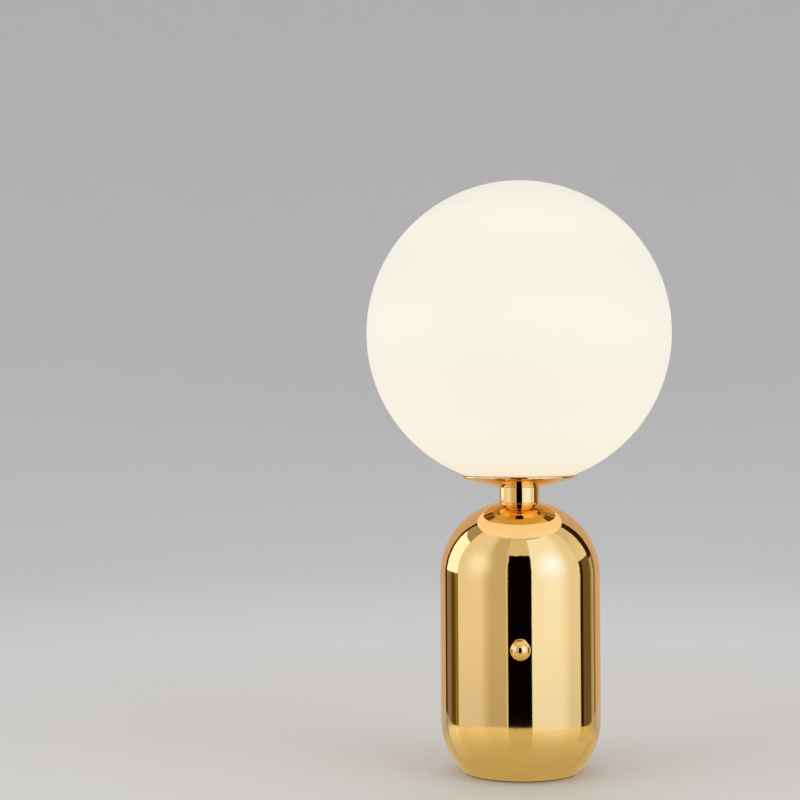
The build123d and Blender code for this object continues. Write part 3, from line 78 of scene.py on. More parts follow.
# Numbers of a Mix node's sockets, where it mixes colours
SHARE = 0
FIRST = 6
SECOND = 7
MIXED = 2
IN_COLOUR: Settings = {"data_type": "RGBA"}
EASED: Settings = {"interpolation_type": "SMOOTHSTEP"}

log = logging.getLogger("bedside_lamp")


class Slot(Enum):
    """The record's material slots."""

    GOLD_PLATE = "gold_plate"
    OPAL_GLASS = "opal_glass"
    ZINC_STEEL = "zinc_steel"
    SPRING_STEEL = "spring_steel"
    GREY_IRON = "grey_iron"
    FOAM_PAD = "foam_pad"
    SILICONE = "silicone"
    BLACK_THERMOPLASTIC = "black_thermoplastic"
    STEATITE = "steatite"
    BARE_BRASS = "bare_brass"
    NICKEL_PLATE = "nickel_plate"
    BOARD_LAMINATE = "board_laminate"
    PHENOLIC = "phenolic"
    NATURAL_POLYAMIDE = "natural_polyamide"
    COPPER_CHOKE = "copper_choke"
    FILM_CAPACITOR = "film_capacitor"
    EPOXY_BLACK = "epoxy_black"
    LEAD_BROWN = "lead_brown"
    LEAD_BLUE = "lead_blue"
    LEAD_BLACK = "lead_black"
    LEAD_GREEN = "lead_green"
    BULB_WHITE = "bulb_white"
    BULB_DIFFUSER = "bulb_diffuser"
    LED_PHOSPHOR = "led_phosphor"


class Body(Enum):
    """The frame's bodies that carry the added pieces."""

    BASE = "base"
    BULB_TIP = "bulb_tip"
    BULB = "bulb"


def linear(hex_colour: str) -> Colour:
    """Turns an sRGB colour into the linear one that the shaders take.

    Args:
        hex_colour: a hash sign and six hex digits.

    Returns:
        Linear red, green and blue, and an alpha of 1.
    """
    channels = []
    for start in (1, 3, 5):
        value = int(hex_colour[start : start + 2], 16) / 255
        channels.append(value / 12.92 if value <= 0.04045 else ((value + 0.055) / 1.055) ** 2.4)
    return (channels[0], channels[1], channels[2], 1.0)


def add_node(
    tree: Tree, kind: str, settings: Settings | None = None, inputs: Settings | None = None
) -> bpy.types.Node:
    """Adds one node with its settings and inputs.

    Args:
        tree: the node tree that gets the node.
        kind: the node's Blender type.
        settings: attributes of the node, by name.
        inputs: its sockets, by name or number. A socket is linked, and anything else is a value.

    Returns:
        The new node.
    """
    node = tree.nodes.new(kind)
    for name, value in (settings or {}).items():
        setattr(node, name, value)
    for name, value in (inputs or {}).items():
        if isinstance(value, Socket):
            tree.links.new(value, node.inputs[name])
        else:
            node.inputs[name].default_value = value
    return node


def mottle(tree: Tree, width: float, detail: float) -> Socket:
    """Adds a soft mottle on object coordinates.

    Args:
        tree: the material's node tree.
        width: how wide a blotch is, in metres.
        detail: how many finer layers lie on it.

    Returns:
        A value around a half.
    """
    place = add_node(tree, "ShaderNodeTexCoord")
    inputs = {"Vector": place.outputs["Object"], "Scale": 1 / width, "Detail": detail}
    return add_node(tree, "ShaderNodeTexNoise", inputs=inputs).outputs["Fac"]


def along(
    tree: Tree,
    axis: str,
    ends: Span,
    values: Span = (0.0, 1.0),
    eased: bool = True,
    coordinates: str = "Object",
) -> Socket:
    """Grades a value along an axis.

    Args:
        tree: the node tree.
        axis: X, Y or Z.
        ends: where the grade starts and ends.
        values: the values at its start and its end.
        eased: True if it eases in and out.
        coordinates: the coordinates that the axis belongs to.

    Returns:
        The graded value.
    """
    place = add_node(tree, "ShaderNodeTexCoord")
    parts = add_node(tree, "ShaderNodeSeparateXYZ", inputs={"Vector": place.outputs[coordinates]})
    grade = add_node(
        tree,
        "ShaderNodeMapRange",
        settings=EASED if eased else None,
        inputs={
            "Value": parts.outputs[axis],
            "From Min": ends[0],
            "From Max": ends[1],
            "To Min": values[0],
            "To Max": values[1],
        },
    )
    return grade.outputs["Result"]


def around(
    tree: Tree, centre: Place, reach: float, values: Span = (0.0, 1.0), eased: bool = True
) -> Socket:
    """Grades a value round a place.

    Args:
        tree: the node tree.
        centre: the place.
        reach: how far the grade reaches, in metres.
        values: the values beyond its reach and at the place itself.
        eased: True if it eases in and out.

    Returns:
        The graded value.
    """
    place = add_node(tree, "ShaderNodeTexCoord")
    moved = add_node(
        tree,
        "ShaderNodeMapping",
        settings={"vector_type": "TEXTURE"},
        inputs={"Vector": place.outputs["Object"], "Location": centre, "Scale": (reach, reach, reach)},
    )
    ball = add_node(
        tree,
        "ShaderNodeTexGradient",
        settings={"gradient_type": "SPHERICAL"},
        inputs={"Vector": moved.outputs["Vector"]},
    )
    grade = add_node(
        tree,
        "ShaderNodeMapRange",
        settings=EASED if eased else None,
        inputs={"Value": ball.outputs["Fac"], "To Min": values[0], "To Max": values[1]},
    )
    return grade.outputs["Result"]


def coat(
    tree: Tree,
    tint: tuple[Socket, str, str],
    roughness: tuple[Socket, float, float] | float,
    relief: tuple[Socket, float, float],
    others: Settings,
) -> Socket:
    """Builds a shader whose colour, roughness and relief follow patterns.

    Args:
        tree: the material's node tree.
        tint: a pattern, and the sRGB hex colours at its 0 and its 1.
        roughness: a mottle with the roughness of its dark and light blotches, or one roughness.
        relief: a pattern, its real depth in metres, and how much of the bump shows.
        others: the shader's other sockets.

    Returns:
        The shader's socket.
    """
    dyed = add_node(
        tree,
        "ShaderNodeMix",
        settings=IN_COLOUR,
        inputs={SHARE: tint[0], FIRST: linear(tint[1]), SECOND: linear(tint[2])},
    )
    if isinstance(roughness, tuple):
        blotches, dark, light = roughness
        dulled = add_node(
            tree,
            "ShaderNodeMapRange",
            inputs={
                "Value": blotches,
                "From Min": MOTTLE_LOW,
                "From Max": MOTTLE_HIGH,
                "To Min": dark,
                "To Max": light,
            },
        )
        roughness = dulled.outputs["Result"]
    bump = add_node(
        tree,
        "ShaderNodeBump",
        inputs={"Height": relief[0], "Distance": relief[1], "Strength": relief[2]},
    )
    inputs = {
        "Base Color": dyed.outputs[MIXED],
        "Roughness": roughness,
        "Normal": bump.outputs["Normal"],
        **others,
    }
    return add_node(tree, "ShaderNodeBsdfPrincipled", inputs=inputs).outputs["BSDF"]


@dataclass(frozen=True)
class Finish:
    """A surface, described by what it is made of and how it was made.

    Attributes:
        name: what a maker calls the surface. The material has this name.
    """

    name: str

    def material(self) -> bpy.types.Material:
        """Makes the material, or finds the one that an earlier call made.

        Returns:
            The material with its node tree.
        """
        made = bpy.data.materials.get(self.name)
        if made is None:
            made = bpy.data.materials.new(self.name)
            made.use_nodes = True
            made.node_tree.nodes.clear()
            surface = self.surface(made.node_tree)
            add_node(made.node_tree, "ShaderNodeOutputMaterial", inputs={"Surface": surface})
        return made

    def surface(self, tree: Tree) -> Socket:
        """Builds the shader.

        Args:
            tree: the material's empty node tree.

        Returns:
            The socket that goes to the material's surface.
        """
        raise NotImplementedError


@dataclass(frozen=True)
class MottledFinish(Finish):
    """A surface whose colour and sheen vary in soft patches, over a finer relief.

    Attributes:
        colour: the surface's own colour.
        shade: its colour in the light blotches of the pattern.
        gloss: roughness of its dark patches.
        haze: roughness of its light patches.
        patch: width of a patch, in metres.
        patch_detail: how many finer layers lie on the patches.
        grain: width of a mark of the relief, in metres.
        grain_detail: how many finer layers lie on the relief.
        depth: depth of the relief, in metres.
        strength: how much of the relief shows.
        metallic: 1 for bare or plated metal.
        dyed_by_grain: True if the colour follows the relief, and False if it follows the patches.
    """

    colour: str
    shade: str
    gloss: float
    haze: float
    patch: float
    patch_detail: float
    grain: float
    grain_detail: float
    depth: float
    strength: float
    metallic: float = 1.0
    dyed_by_grain: bool = False

    def others(self, tree: Tree) -> Settings:
        """The shader's inputs besides colour, roughness and relief."""
        return {"Metallic": self.metallic}

    def surface(self, tree: Tree) -> Socket:
        """Builds the patches, the relief and the shader.

        Args:
            tree: the material's empty node tree.

        Returns:
            The shader's socket.
        """
        patches = mottle(tree, self.patch, self.patch_detail)
        grains = mottle(tree, self.grain, self.grain_detail)
        return coat(
            tree,
            (grains if self.dyed_by_grain else patches, self.colour, self.shade),
            (patches, self.gloss, self.haze),
            (grains, self.depth, self.strength),
            self.others(tree),
        )


@dataclass(frozen=True)
class PolishedPlate(MottledFinish):
    """Metal polished to a mirror and plated, with a trace of waviness and of handling."""

    gloss: float = 0.03
    haze: float = 0.06
    patch: float = 9 * MM
    patch_detail: float = 4.0
    grain: float = 18 * MM
    grain_detail: float = 1.0
    depth: float = 0.01 * MM
    strength: float = 0.15


@dataclass(frozen=True)
class PlatedSteel(MottledFinish):
    """Pressed or turned metal with a thin, slightly cloudy plate and a fine tooth."""

    gloss: float = 0.22
    haze: float = 0.42
    patch: float = 2.5 * MM
    patch_detail: float = 5.0
    grain: float = 0.25 * MM
    grain_detail: float = 2.0
    depth: float = 0.01 * MM
    strength: float = 0.3


@dataclass(frozen=True)
class CastMetal(MottledFinish):
    """Sand-cast iron: the dull, pitted skin that the sand leaves, with darker mill scale on it."""

    gloss: float = 0.55
    haze: float = 0.8
    patch: float = 6 * MM
    patch_detail: float = 6.0
    grain: float = 0.6 * MM
    grain_detail: float = 4.0
    depth: float = 0.2 * MM
    strength: float = 0.8
    metallic: float = 0.85


@dataclass(frozen=True)
class Moulding(MottledFinish):
    """Moulded plastic, rubber or pressed ceramic, with the texture of its mould.

    Attributes:
        index: its index of refraction.
    """

    patch: float = 12 * MM
    patch_detail: float = 2.0
    grain: float = 0.5 * MM
    grain_detail: float = 3.0
    depth: float = 0.01 * MM
    strength: float = 0.5
    dyed_by_grain: bool = True
    index: float = 1.5

    def others(self, tree: Tree) -> Settings:
        """The shader's inputs besides colour, roughness and relief."""
        return {"IOR": self.index}


def moulded(
    name: str, colours: tuple[str, str], gloss: float, grain: float, depth: float, index: float
) -> Moulding:
    """Describes a moulding by the few sizes in which it differs from others.

    Args:
        name: what a maker calls the surface.
        colours: the material's colour, and its colour in the hollows of the texture.
        gloss: its usual roughness, from which its patches go a little down and up.
        grain: width of a grain of the texture, in millimetres.
        depth: depth of the texture, in millimetres.
        index: its index of refraction.

    Returns:
        The finish.
    """
    rough = (gloss * 0.9, gloss * 1.15)
    return Moulding(name, *colours, *rough, grain=grain * MM, depth=depth * MM, index=index)


@dataclass(frozen=True)
class OpalGlass(MottledFinish):
    """Milky glass or plastic round a lit bulb, with a glow that changes with height.

    The colour is the glass in reflected light, because opal lets the rest of the light through,
    and the shade is its colour where the blown wall is thinner.

    Attributes:
        glow: radiance of the light that comes through, from the bottom up, as shares and colours. On the
            shade its change with height is painted shade and painted light.
        heights: height of the glass's bottom and top, in metres.
        sheen: how much the satin skin reflects, where a half is plain glass.
        index: its index of refraction.
    """

    patch: float = 60 * MM
    patch_detail: float = 1.0
    grain: float = 0.5 * MM
    grain_detail: float = 2.0
    depth: float = 0.01 * MM
    strength: float = 0.2
    glow: tuple[tuple[float, str], ...] = ()
    heights: Span = (0.0, 1.0)
    sheen: float = 0.2
    index: float = 1.5

    def light(self, tree: Tree) -> Socket:
        """Grades the glow by height.

        Args:
            tree: the material's node tree.

        Returns:
            The glow's colour.
        """
        rise = along(tree, "Z", self.heights, eased=False)
        ramp = add_node(tree, "ShaderNodeValToRGB", inputs={"Fac": rise})
        ramp.color_ramp.interpolation = "EASE"
        stops = ramp.color_ramp.elements
        while len(stops) < len(self.glow):
            stops.new(0.5)
        for stop, (share, colour) in zip(stops, self.glow):
            stop.position = share
            stop.color = linear(colour)
        return ramp.outputs["Color"]

    def others(self, tree: Tree) -> Settings:
        """The shader's inputs besides colour, roughness and relief.

        Args:
            tree: the material's node tree.

        Returns:
            The inputs by name, with the bulb's light.
        """
        return {
            "IOR": self.index,
            "Specular IOR Level": self.sheen,
            "Emission Color": self.light(tree),
            "Emission Strength": 1.0,
        }


@dataclass(frozen=True)
class Foam(Finish):
    """Closed-cell foam, cut from a sheet, with its open cells at the face.

    Attributes:
        colour: the colour of the cell walls.
        hollow: the colour inside the cells, which is painted shade.
        cell: width of a cell, in metres.
        depth: depth of an open cell, in metres.
        roughness: of the foam.
        strength: how much of the cells shows.
    """

    colour: str
    hollow: str
    cell: float = 0.7 * MM
    depth: float = 0.2 * MM
    roughness: float = 0.95
    strength: float = 0.9

    def surface(self, tree: Tree) -> Socket:
        """Builds a matt face full of small cells.

        Args:
            tree: the material's empty node tree.

        Returns:
            The shader's socket.
        """
        place = add_node(tree, "ShaderNodeTexCoord")
        cells = add_node(
            tree,
            "ShaderNodeTexVoronoi",
            inputs={"Vector": place.outputs["Object"], "Scale": 1 / self.cell},
        )
        # Painted shade: each cell is darker towards its middle, where the relief is lowest
        walls = cells.outputs["Distance"]
        relief = (walls, self.depth, self.strength)
        return coat(tree, (walls, self.hollow, self.colour), self.roughness, relief, {})


@dataclass(frozen=True)
class Winding(Finish):
    """Enamelled copper wire, wound on a core.

    Attributes:
        colour: the enamel over the copper.
        groove: the colour between two turns, which is painted shade.
        wire: width of the wire, in metres.
        depth: depth of the groove between two turns, in metres.
        roughness: of the enamel.
        strength: how much of the grooves shows.
        metallic: how much of the shine is the copper's.
    """

    colour: str
    groove: str
    wire: float = 0.5 * MM
    depth: float = 0.2 * MM
    roughness: float = 0.3
    strength: float = 0.6
    metallic: float = 0.8

    def surface(self, tree: Tree) -> Socket:
        """Builds bands as wide as the wire.

        Args:
            tree: the material's empty node tree.

        Returns:
            The shader's socket.
        """
        place = add_node(tree, "ShaderNodeTexCoord")
        bands = add_node(
            tree,
            "ShaderNodeTexWave",
            settings={"bands_direction": "DIAGONAL"},
            inputs={"Vector": place.outputs["Object"], "Scale": 1 / (self.wire * FULL_TURN)},
        )
        turns = bands.outputs["Fac"]
        # Painted shade: the colour goes darker between two turns, where the relief is lowest
        tint = (turns, self.groove, self.colour)
        relief = (turns, self.depth, self.strength)
        return coat(tree, tint, self.roughness, relief, {"Metallic": self.metallic})


@dataclass(frozen=True)
class GlowingPanel(Finish):
    """Cloth of a softbox, or another sheet of the studio, with its own even or graded radiance.

    Attributes:
        front: radiance near the camera, where white is a radiance of 1.
        back: radiance at the far end. Empty means the same as in front.
        span: where the front colour ends and the back colour starts, as two places along Y.
        middle: radiance of the lamp behind the cloth.
        centre: where that lamp is. The usual place is out of reach.
        reach: how far its light spreads on the cloth, in metres.
        strength: radiance of white.
        foot: the share of its radiance that is left at its foot.
        foot_heights: where the foot's share ends and the full radiance starts, in metres.
    """

    front: str
    back: str = ""
    span: Span = (-0.5, 0.5)
    middle: str = "#FFFFFF"
    centre: Place = (0.0, 0.0, -9.0)
    reach: float = 0.5
    strength: float = 1.0
    foot: float = 1.0
    foot_heights: Span = (-0.2, 0.0)

    def surface(self, tree: Tree) -> Socket:
        """Builds light on the inner side only.

        Args:
            tree: the material's empty node tree.

        Returns:
            The shader's socket.
        """
        back = linear(self.back or self.front)
        cloth = add_node(
            tree,
            "ShaderNodeMix",
            settings=IN_COLOUR,
            inputs={SHARE: along(tree, "Y", self.span), FIRST: linear(self.front), SECOND: back},
        )
        spot = around(tree, self.centre, self.reach)
        lit = add_node(
            tree,
            "ShaderNodeMix",
            settings=IN_COLOUR,
            inputs={SHARE: spot, FIRST: cloth.outputs[MIXED], SECOND: linear(self.middle)},
        )
        strengths = (self.strength * self.foot, self.strength)
        rise = along(tree, "Z", self.foot_heights, strengths, eased=False)
        inputs = {"Color": lit.outputs[MIXED], "Strength": rise}
        glow = add_node(tree, "ShaderNodeEmission", inputs=inputs)
        side = add_node(tree, "ShaderNodeNewGeometry")
        clear = add_node(tree, "ShaderNodeBsdfTransparent")
        inputs = {"Fac": side.outputs["Backfacing"], 1: glow.outputs["Emission"], 2: clear.outputs["BSDF"]}
        return add_node(tree, "ShaderNodeMixShader", inputs=inputs).outputs["Shader"]


@dataclass(frozen=True)
class TableTop(Finish):
    """The lit top of the bedside table, as the polished metal shows it.

    Attributes:
        lit: radiance of the top in front, where the metal's own light falls on it.
        back: its radiance behind the lamp.
        span: where the front colour ends and the back colour starts, as two places along Y.
        shaded: share of its radiance at the lamp's foot.
        reach: how far the lamp's shade reaches from the axis, in metres.
        gloss: roughness of its lacquer.
        wax: how much its lacquer reflects, where a half is ordinary lacquer.
    """

    lit: str
    back: str
    span: Span
    shaded: float
    reach: float
    gloss: float = 0.1
    wax: float = 0.35

    def surface(self, tree: Tree) -> Socket:
        """Builds a lacquered top that glows with painted light, with a painted shadow at the lamp's foot.

        Args:
            tree: the material's empty node tree.

        Returns:
            The shader's socket.
        """
        behind = along(tree, "Y", self.span)
        shade = around(tree, (0.0, 0.0, 0.0), self.reach, (1.0, self.shaded), eased=False)
        radiance = add_node(
            tree,
            "ShaderNodeMix",
            settings=IN_COLOUR,
            inputs={SHARE: behind, FIRST: linear(self.lit), SECOND: linear(self.back)},
        )
        inputs = {
            "Base Color": linear("#000000"),
            "Roughness": self.gloss,
            "Specular IOR Level": self.wax,
            "Emission Color": radiance.outputs[MIXED],
            "Emission Strength": shade,
        }
        return add_node(tree, "ShaderNodeBsdfPrincipled", inputs=inputs).outputs["BSDF"]


@dataclass(frozen=True)
class StudioPaint(Finish):
    """Paint on the studio's floor and walls, waxed round the lamp and matt farther off.

    Attributes:
        colour: the paint.
        fleck: the colour of its faint flecks.
        gloss: its roughness.
        sheen: how much the wax reflects at the lamp's foot, where a half is ordinary lacquer.
        waxed: where the wax ends, in metres from the lamp's axis.
        fleck_width: width of a fleck, in metres.
    """

    colour: str
    fleck: str
    gloss: float
    sheen: float
    waxed: float
    fleck_width: float = 3 * MM

    def surface(self, tree: Tree) -> Socket:
        """Builds an even paint with a sheen that fades outwards.

        Args:
            tree: the material's empty node tree.

        Returns:
            The shader's socket.
        """
        flecks = mottle(tree, self.fleck_width, 2.0)
        wax = around(tree, (0.0, 0.0, 0.0), self.waxed, (0.0, self.sheen))
        paint = add_node(
            tree,
            "ShaderNodeMix",
            settings=IN_COLOUR,
            inputs={SHARE: flecks, FIRST: linear(self.colour), SECOND: linear(self.fleck)},
        )
        inputs = {
            "Base Color": paint.outputs[MIXED],
            "Roughness": self.gloss,
            "Specular IOR Level": wax,
        }
        return add_node(tree, "ShaderNodeBsdfPrincipled", inputs=inputs).outputs["BSDF"]


SLOT_FINISHES: dict[Slot, Finish] = {
    # Vacuum-plated gold over polished metal: a clear warm mirror
    Slot.GOLD_PLATE: PolishedPlate("gold_plate_mirror_polished", "#FFDB98", "#FFD893"),
    # Opal glass, satin-etched: an even milky white that glows with the bulb inside. Towards the top its
    # glow is darker, a painted shade, and near the fitting it is warmer, painted light thrown up by the
    # gold base
    Slot.OPAL_GLASS: OpalGlass(
        "opal_glass_satin",
        "#CDC9BD",
        "#CAC6B9",
        0.6,
        0.66,
        # The bulb's light, graded by height: painted shade at the top and painted warm light at the bottom
        glow=(
            (0.0, "#CDC0AC"),
            (0.1, "#CAC2B5"),
            (0.45, "#C1BDB5"),
            (0.8, "#B0AFA8"),
            (1.0, "#989893"),
        ),
        heights=(0.242, 0.485),
    ),
    # Zinc-plated steel pressings and nuts: bluish grey, slightly cloudy
    Slot.ZINC_STEEL: PlatedSteel("zinc_plated_steel", "#C9CCD0", "#AEB2B8"),
    # Hardened spring strip: darker and smoother than zinc
    Slot.SPRING_STEEL: PlatedSteel("spring_steel_strip", "#A9ABAD", "#8C8F93", 0.2, 0.35),
    # Grey iron, sand cast: dark and pitted
    Slot.GREY_IRON: CastMetal("grey_iron_sand_cast", "#5B5A58", "#3C3B3A"),
    # EVA foam sheet: matt black, with fine cells that are painted darker inside as shade
    Slot.FOAM_PAD: Foam("eva_foam_cut_sheet", "#2B2B2C", "#131314"),
    # Translucent silicone rubber: milky and soft
    Slot.SILICONE: moulded("silicone_rubber_clear", ("#D9D6CE", "#CBC8BF"), 0.45, 0.5, 0.01, 1.41),
    # Black thermoplastic polyester, moulded with a fine spark texture
    Slot.BLACK_THERMOPLASTIC: moulded(
        "polyester_moulded_black", ("#1B1B1C", "#121213"), 0.38, 0.35, 0.015, 1.57
    ),
    # Steatite, pressed and fired: cream white, dry to the eye
    Slot.STEATITE: moulded("steatite_pressed", ("#E9E3D3", "#DAD2BF"), 0.5, 0.8, 0.02, 1.6),
    # Bare brass strip and screws: yellow, a little dulled by the air
    Slot.BARE_BRASS: PlatedSteel("brass_bare", "#DDB56A", "#B98F48", 0.2, 0.38),
    # Nickel-plated brass: warm grey, bright
    Slot.NICKEL_PLATE: PlatedSteel("nickel_plated_brass", "#D3CDBF", "#BDB6A7", 0.14, 0.26),
    # Glass-fibre laminate with solder mask: a dark, glossy green
    Slot.BOARD_LAMINATE: moulded("glass_epoxy_board", ("#1F5B3A", "#184A2F"), 0.3, 0.9, 0.02, 1.55),
    # Phenolic paper sheet: brown and waxy
    Slot.PHENOLIC: moulded("phenolic_sheet", ("#6B3F22", "#57311A"), 0.4, 1.2, 0.01, 1.6),
    # Natural polyamide: a milky off-white with a soft sheen
    Slot.NATURAL_POLYAMIDE: moulded(
        "polyamide_natural", ("#E7E1CF", "#DDD5BF"), 0.35, 1.0, 0.01, 1.53
    ),
    # Enamelled copper wire on a ferrite ring: red-brown bands with a shine, painted darker between the
    # turns as shade
    Slot.COPPER_CHOKE: Winding("copper_wire_enamelled", "#B5652F", "#5C2E14"),
    # Film capacitor in a dipped case: a smooth deep yellow
    Slot.FILM_CAPACITOR: moulded("film_capacitor_case", ("#C9A227", "#B8921F"), 0.35, 2.0, 0.01, 1.5),
    # Epoxy moulding compound: dull black with a stony grain
    Slot.EPOXY_BLACK: moulded("epoxy_moulding_compound", ("#232323", "#181818"), 0.55, 0.3, 0.02, 1.55),
    # White polycarbonate of the bulb's housing: smooth and slightly glossy
    Slot.BULB_WHITE: moulded("polycarbonate_white", ("#EDEDEA", "#E6E6E2"), 0.3, 0.6, 0.005, 1.58),
    # Milky polycarbonate of the bulb's dome, glowing on a low dimmer setting
    Slot.BULB_DIFFUSER: OpalGlass(
        "polycarbonate_diffuser",
        "#E4E1DA",
        "#E0DCD3",
        0.4,
        0.44,
        glow=((0.0, "#B59A72"), (0.3, "#D9C4A0"), (1.0, "#CDBB9C")),
        heights=(0.346, 0.384),
    ),
    # Phosphor gel over the chips: a flat warm yellow
    Slot.LED_PHOSPHOR: moulded("led_phosphor_gel", ("#E8C93C", "#DDBB30"), 0.35, 0.3, 0.02, 1.5),
}

# Silicone-insulated leads in their colours: soft and a little shiny
for sheath, dyes in {
    "brown": ("#5A3120", "#4C281A"),
    "blue": ("#2A56A0", "#244B8D"),
    "black": ("#1A1A1B", "#141415"),
    "green": ("#3C8A3A", "#347A32"),
}.items():
    SLOT_FINISHES[Slot(f"lead_{sheath}")] = moulded(
        f"lead_sheath_{sheath}", dyes, 0.42, 1.5, 0.01, 1.45
    )


def finish_object(name: str, shape: Shape, finish: Finish) -> bpy.types.Object:
    """Turns a bmesh into an object at the origin, with its finish.

    Args:
        name: the object's name.
        shape: the geometry, in metres. It is freed.
        finish: what it is made of.

    Returns:
        The new object, linked to the scene.
    """
    mesh = bpy.data.meshes.new(name)
    shape.to_mesh(mesh)
    shape.free()
    mesh.materials.append(finish.material())
    made = bpy.data.objects.new(name, mesh)
    bpy.context.scene.collection.objects.link(made)
    return made


def keep_to_reflections(piece: bpy.types.Object) -> None:
    """Hides a piece of the studio from everything but the lamp's reflections."""
    for ray in ("camera", "diffuse", "shadow", "transmission"):
        setattr(piece, f"visible_{ray}", False)


def spun(outline: list[Span], closed: bool = True, steps: int = ROUND) -> Shape:
    """Spins an outline round the lamp's axis.

    Args:
        outline: its points, each a radius and a height in metres.
        closed: True if the last point joins the first.
        steps: how many faces go round.

    Returns:
        The spun shape, with its doubles merged and its faces outwards.
    """
    shape = bmesh.new()
    corners = [shape.verts.new((radius, 0, height)) for radius, height in outline]
    pairs = list(zip(corners, corners[1:]))
    if closed:
        pairs.append((corners[-1], corners[0]))
    edges = [shape.edges.new(pair) for pair in pairs]
    bmesh.ops.spin(
        shape,
        geom=[*corners, *edges],
        axis=(0, 0, 1),
        cent=(0, 0, 0),
        angle=FULL_TURN,
        steps=steps,
        use_merge=True,
    )
    bmesh.ops.remove_doubles(shape, verts=shape.verts, dist=MERGE_DISTANCE)
    bmesh.ops.recalc_face_normals(shape, faces=shape.faces)
    return shape


def is_sharp(edge: bmesh.types.BMEdge) -> bool:
    """Tells a real edge from a soft bend."""
    return len(edge.link_faces) == 2 and edge.calc_face_angle(0) > SHARP_ANGLE


def soften(
    shape: Shape, edges: list[bmesh.types.BMEdge], width: float, segments: int = 3
) -> None:
    """Rounds edges.

    Args:
        shape: the geometry.
        edges: the edges to round.
        width: width of the rounding, in metres.
        segments: how many faces go round an edge.
    """
    bmesh.ops.bevel(
        shape,
        geom=edges,
        offset=width,
        segments=segments,
        profile=0.5,
        affect="EDGES",
        clamp_overlap=True,
        material=-1,
    )


def shade_smooth(shape: Shape) -> None:
    """Shades the faces smooth, apart from real edges.

    Args:
        shape: the geometry.
    """
    for face in shape.faces:
        face.smooth = True
    for edge in shape.edges:
        if len(edge.link_faces) == 2:
            edge.smooth = edge.calc_face_angle(0) < SHARP_ANGLE


@dataclass
class StudioSheet:
    """An upright sheet that curves round the lamp, such as a softbox or a black flag.

    Attributes:
        name: the sheet's name.
        azimuths: where it starts and ends, in degrees from the camera's side, rightwards.
        heights: its bottom and top, in metres.
        radius: how far it stands from the lamp's axis.
        finish: what it is covered with.
        facet: how many degrees a face covers.
        fewest: how many faces it has at least.
    """

    name: str
    azimuths: Span
    heights: Span
    radius: float
    finish: Finish
    facet: float = 4
    fewest: int = 4

    def build(self) -> None:
        """Spins an upright edge round the lamp's axis, for reflections only."""
        start, end = (math.radians(azimuth) for azimuth in self.azimuths)
        shape = bmesh.new()
        corners = [
            shape.verts.new((self.radius * math.sin(start), -self.radius * math.cos(start), height))
            for height in self.heights
        ]
        edge = shape.edges.new(corners)
        bmesh.ops.spin(
            shape,
            geom=[*corners, edge],
            axis=(0, 0, 1),
            cent=(0, 0, 0),
            angle=end - start,
            steps=max(self.fewest, round(math.degrees(end - start) / self.facet)),
        )
        for face in shape.faces:
            if face.normal.dot(face.calc_center_median()) > 0:
                face.normal_flip()
        sheet = finish_object(self.name, shape, self.finish)
        keep_to_reflections(sheet)


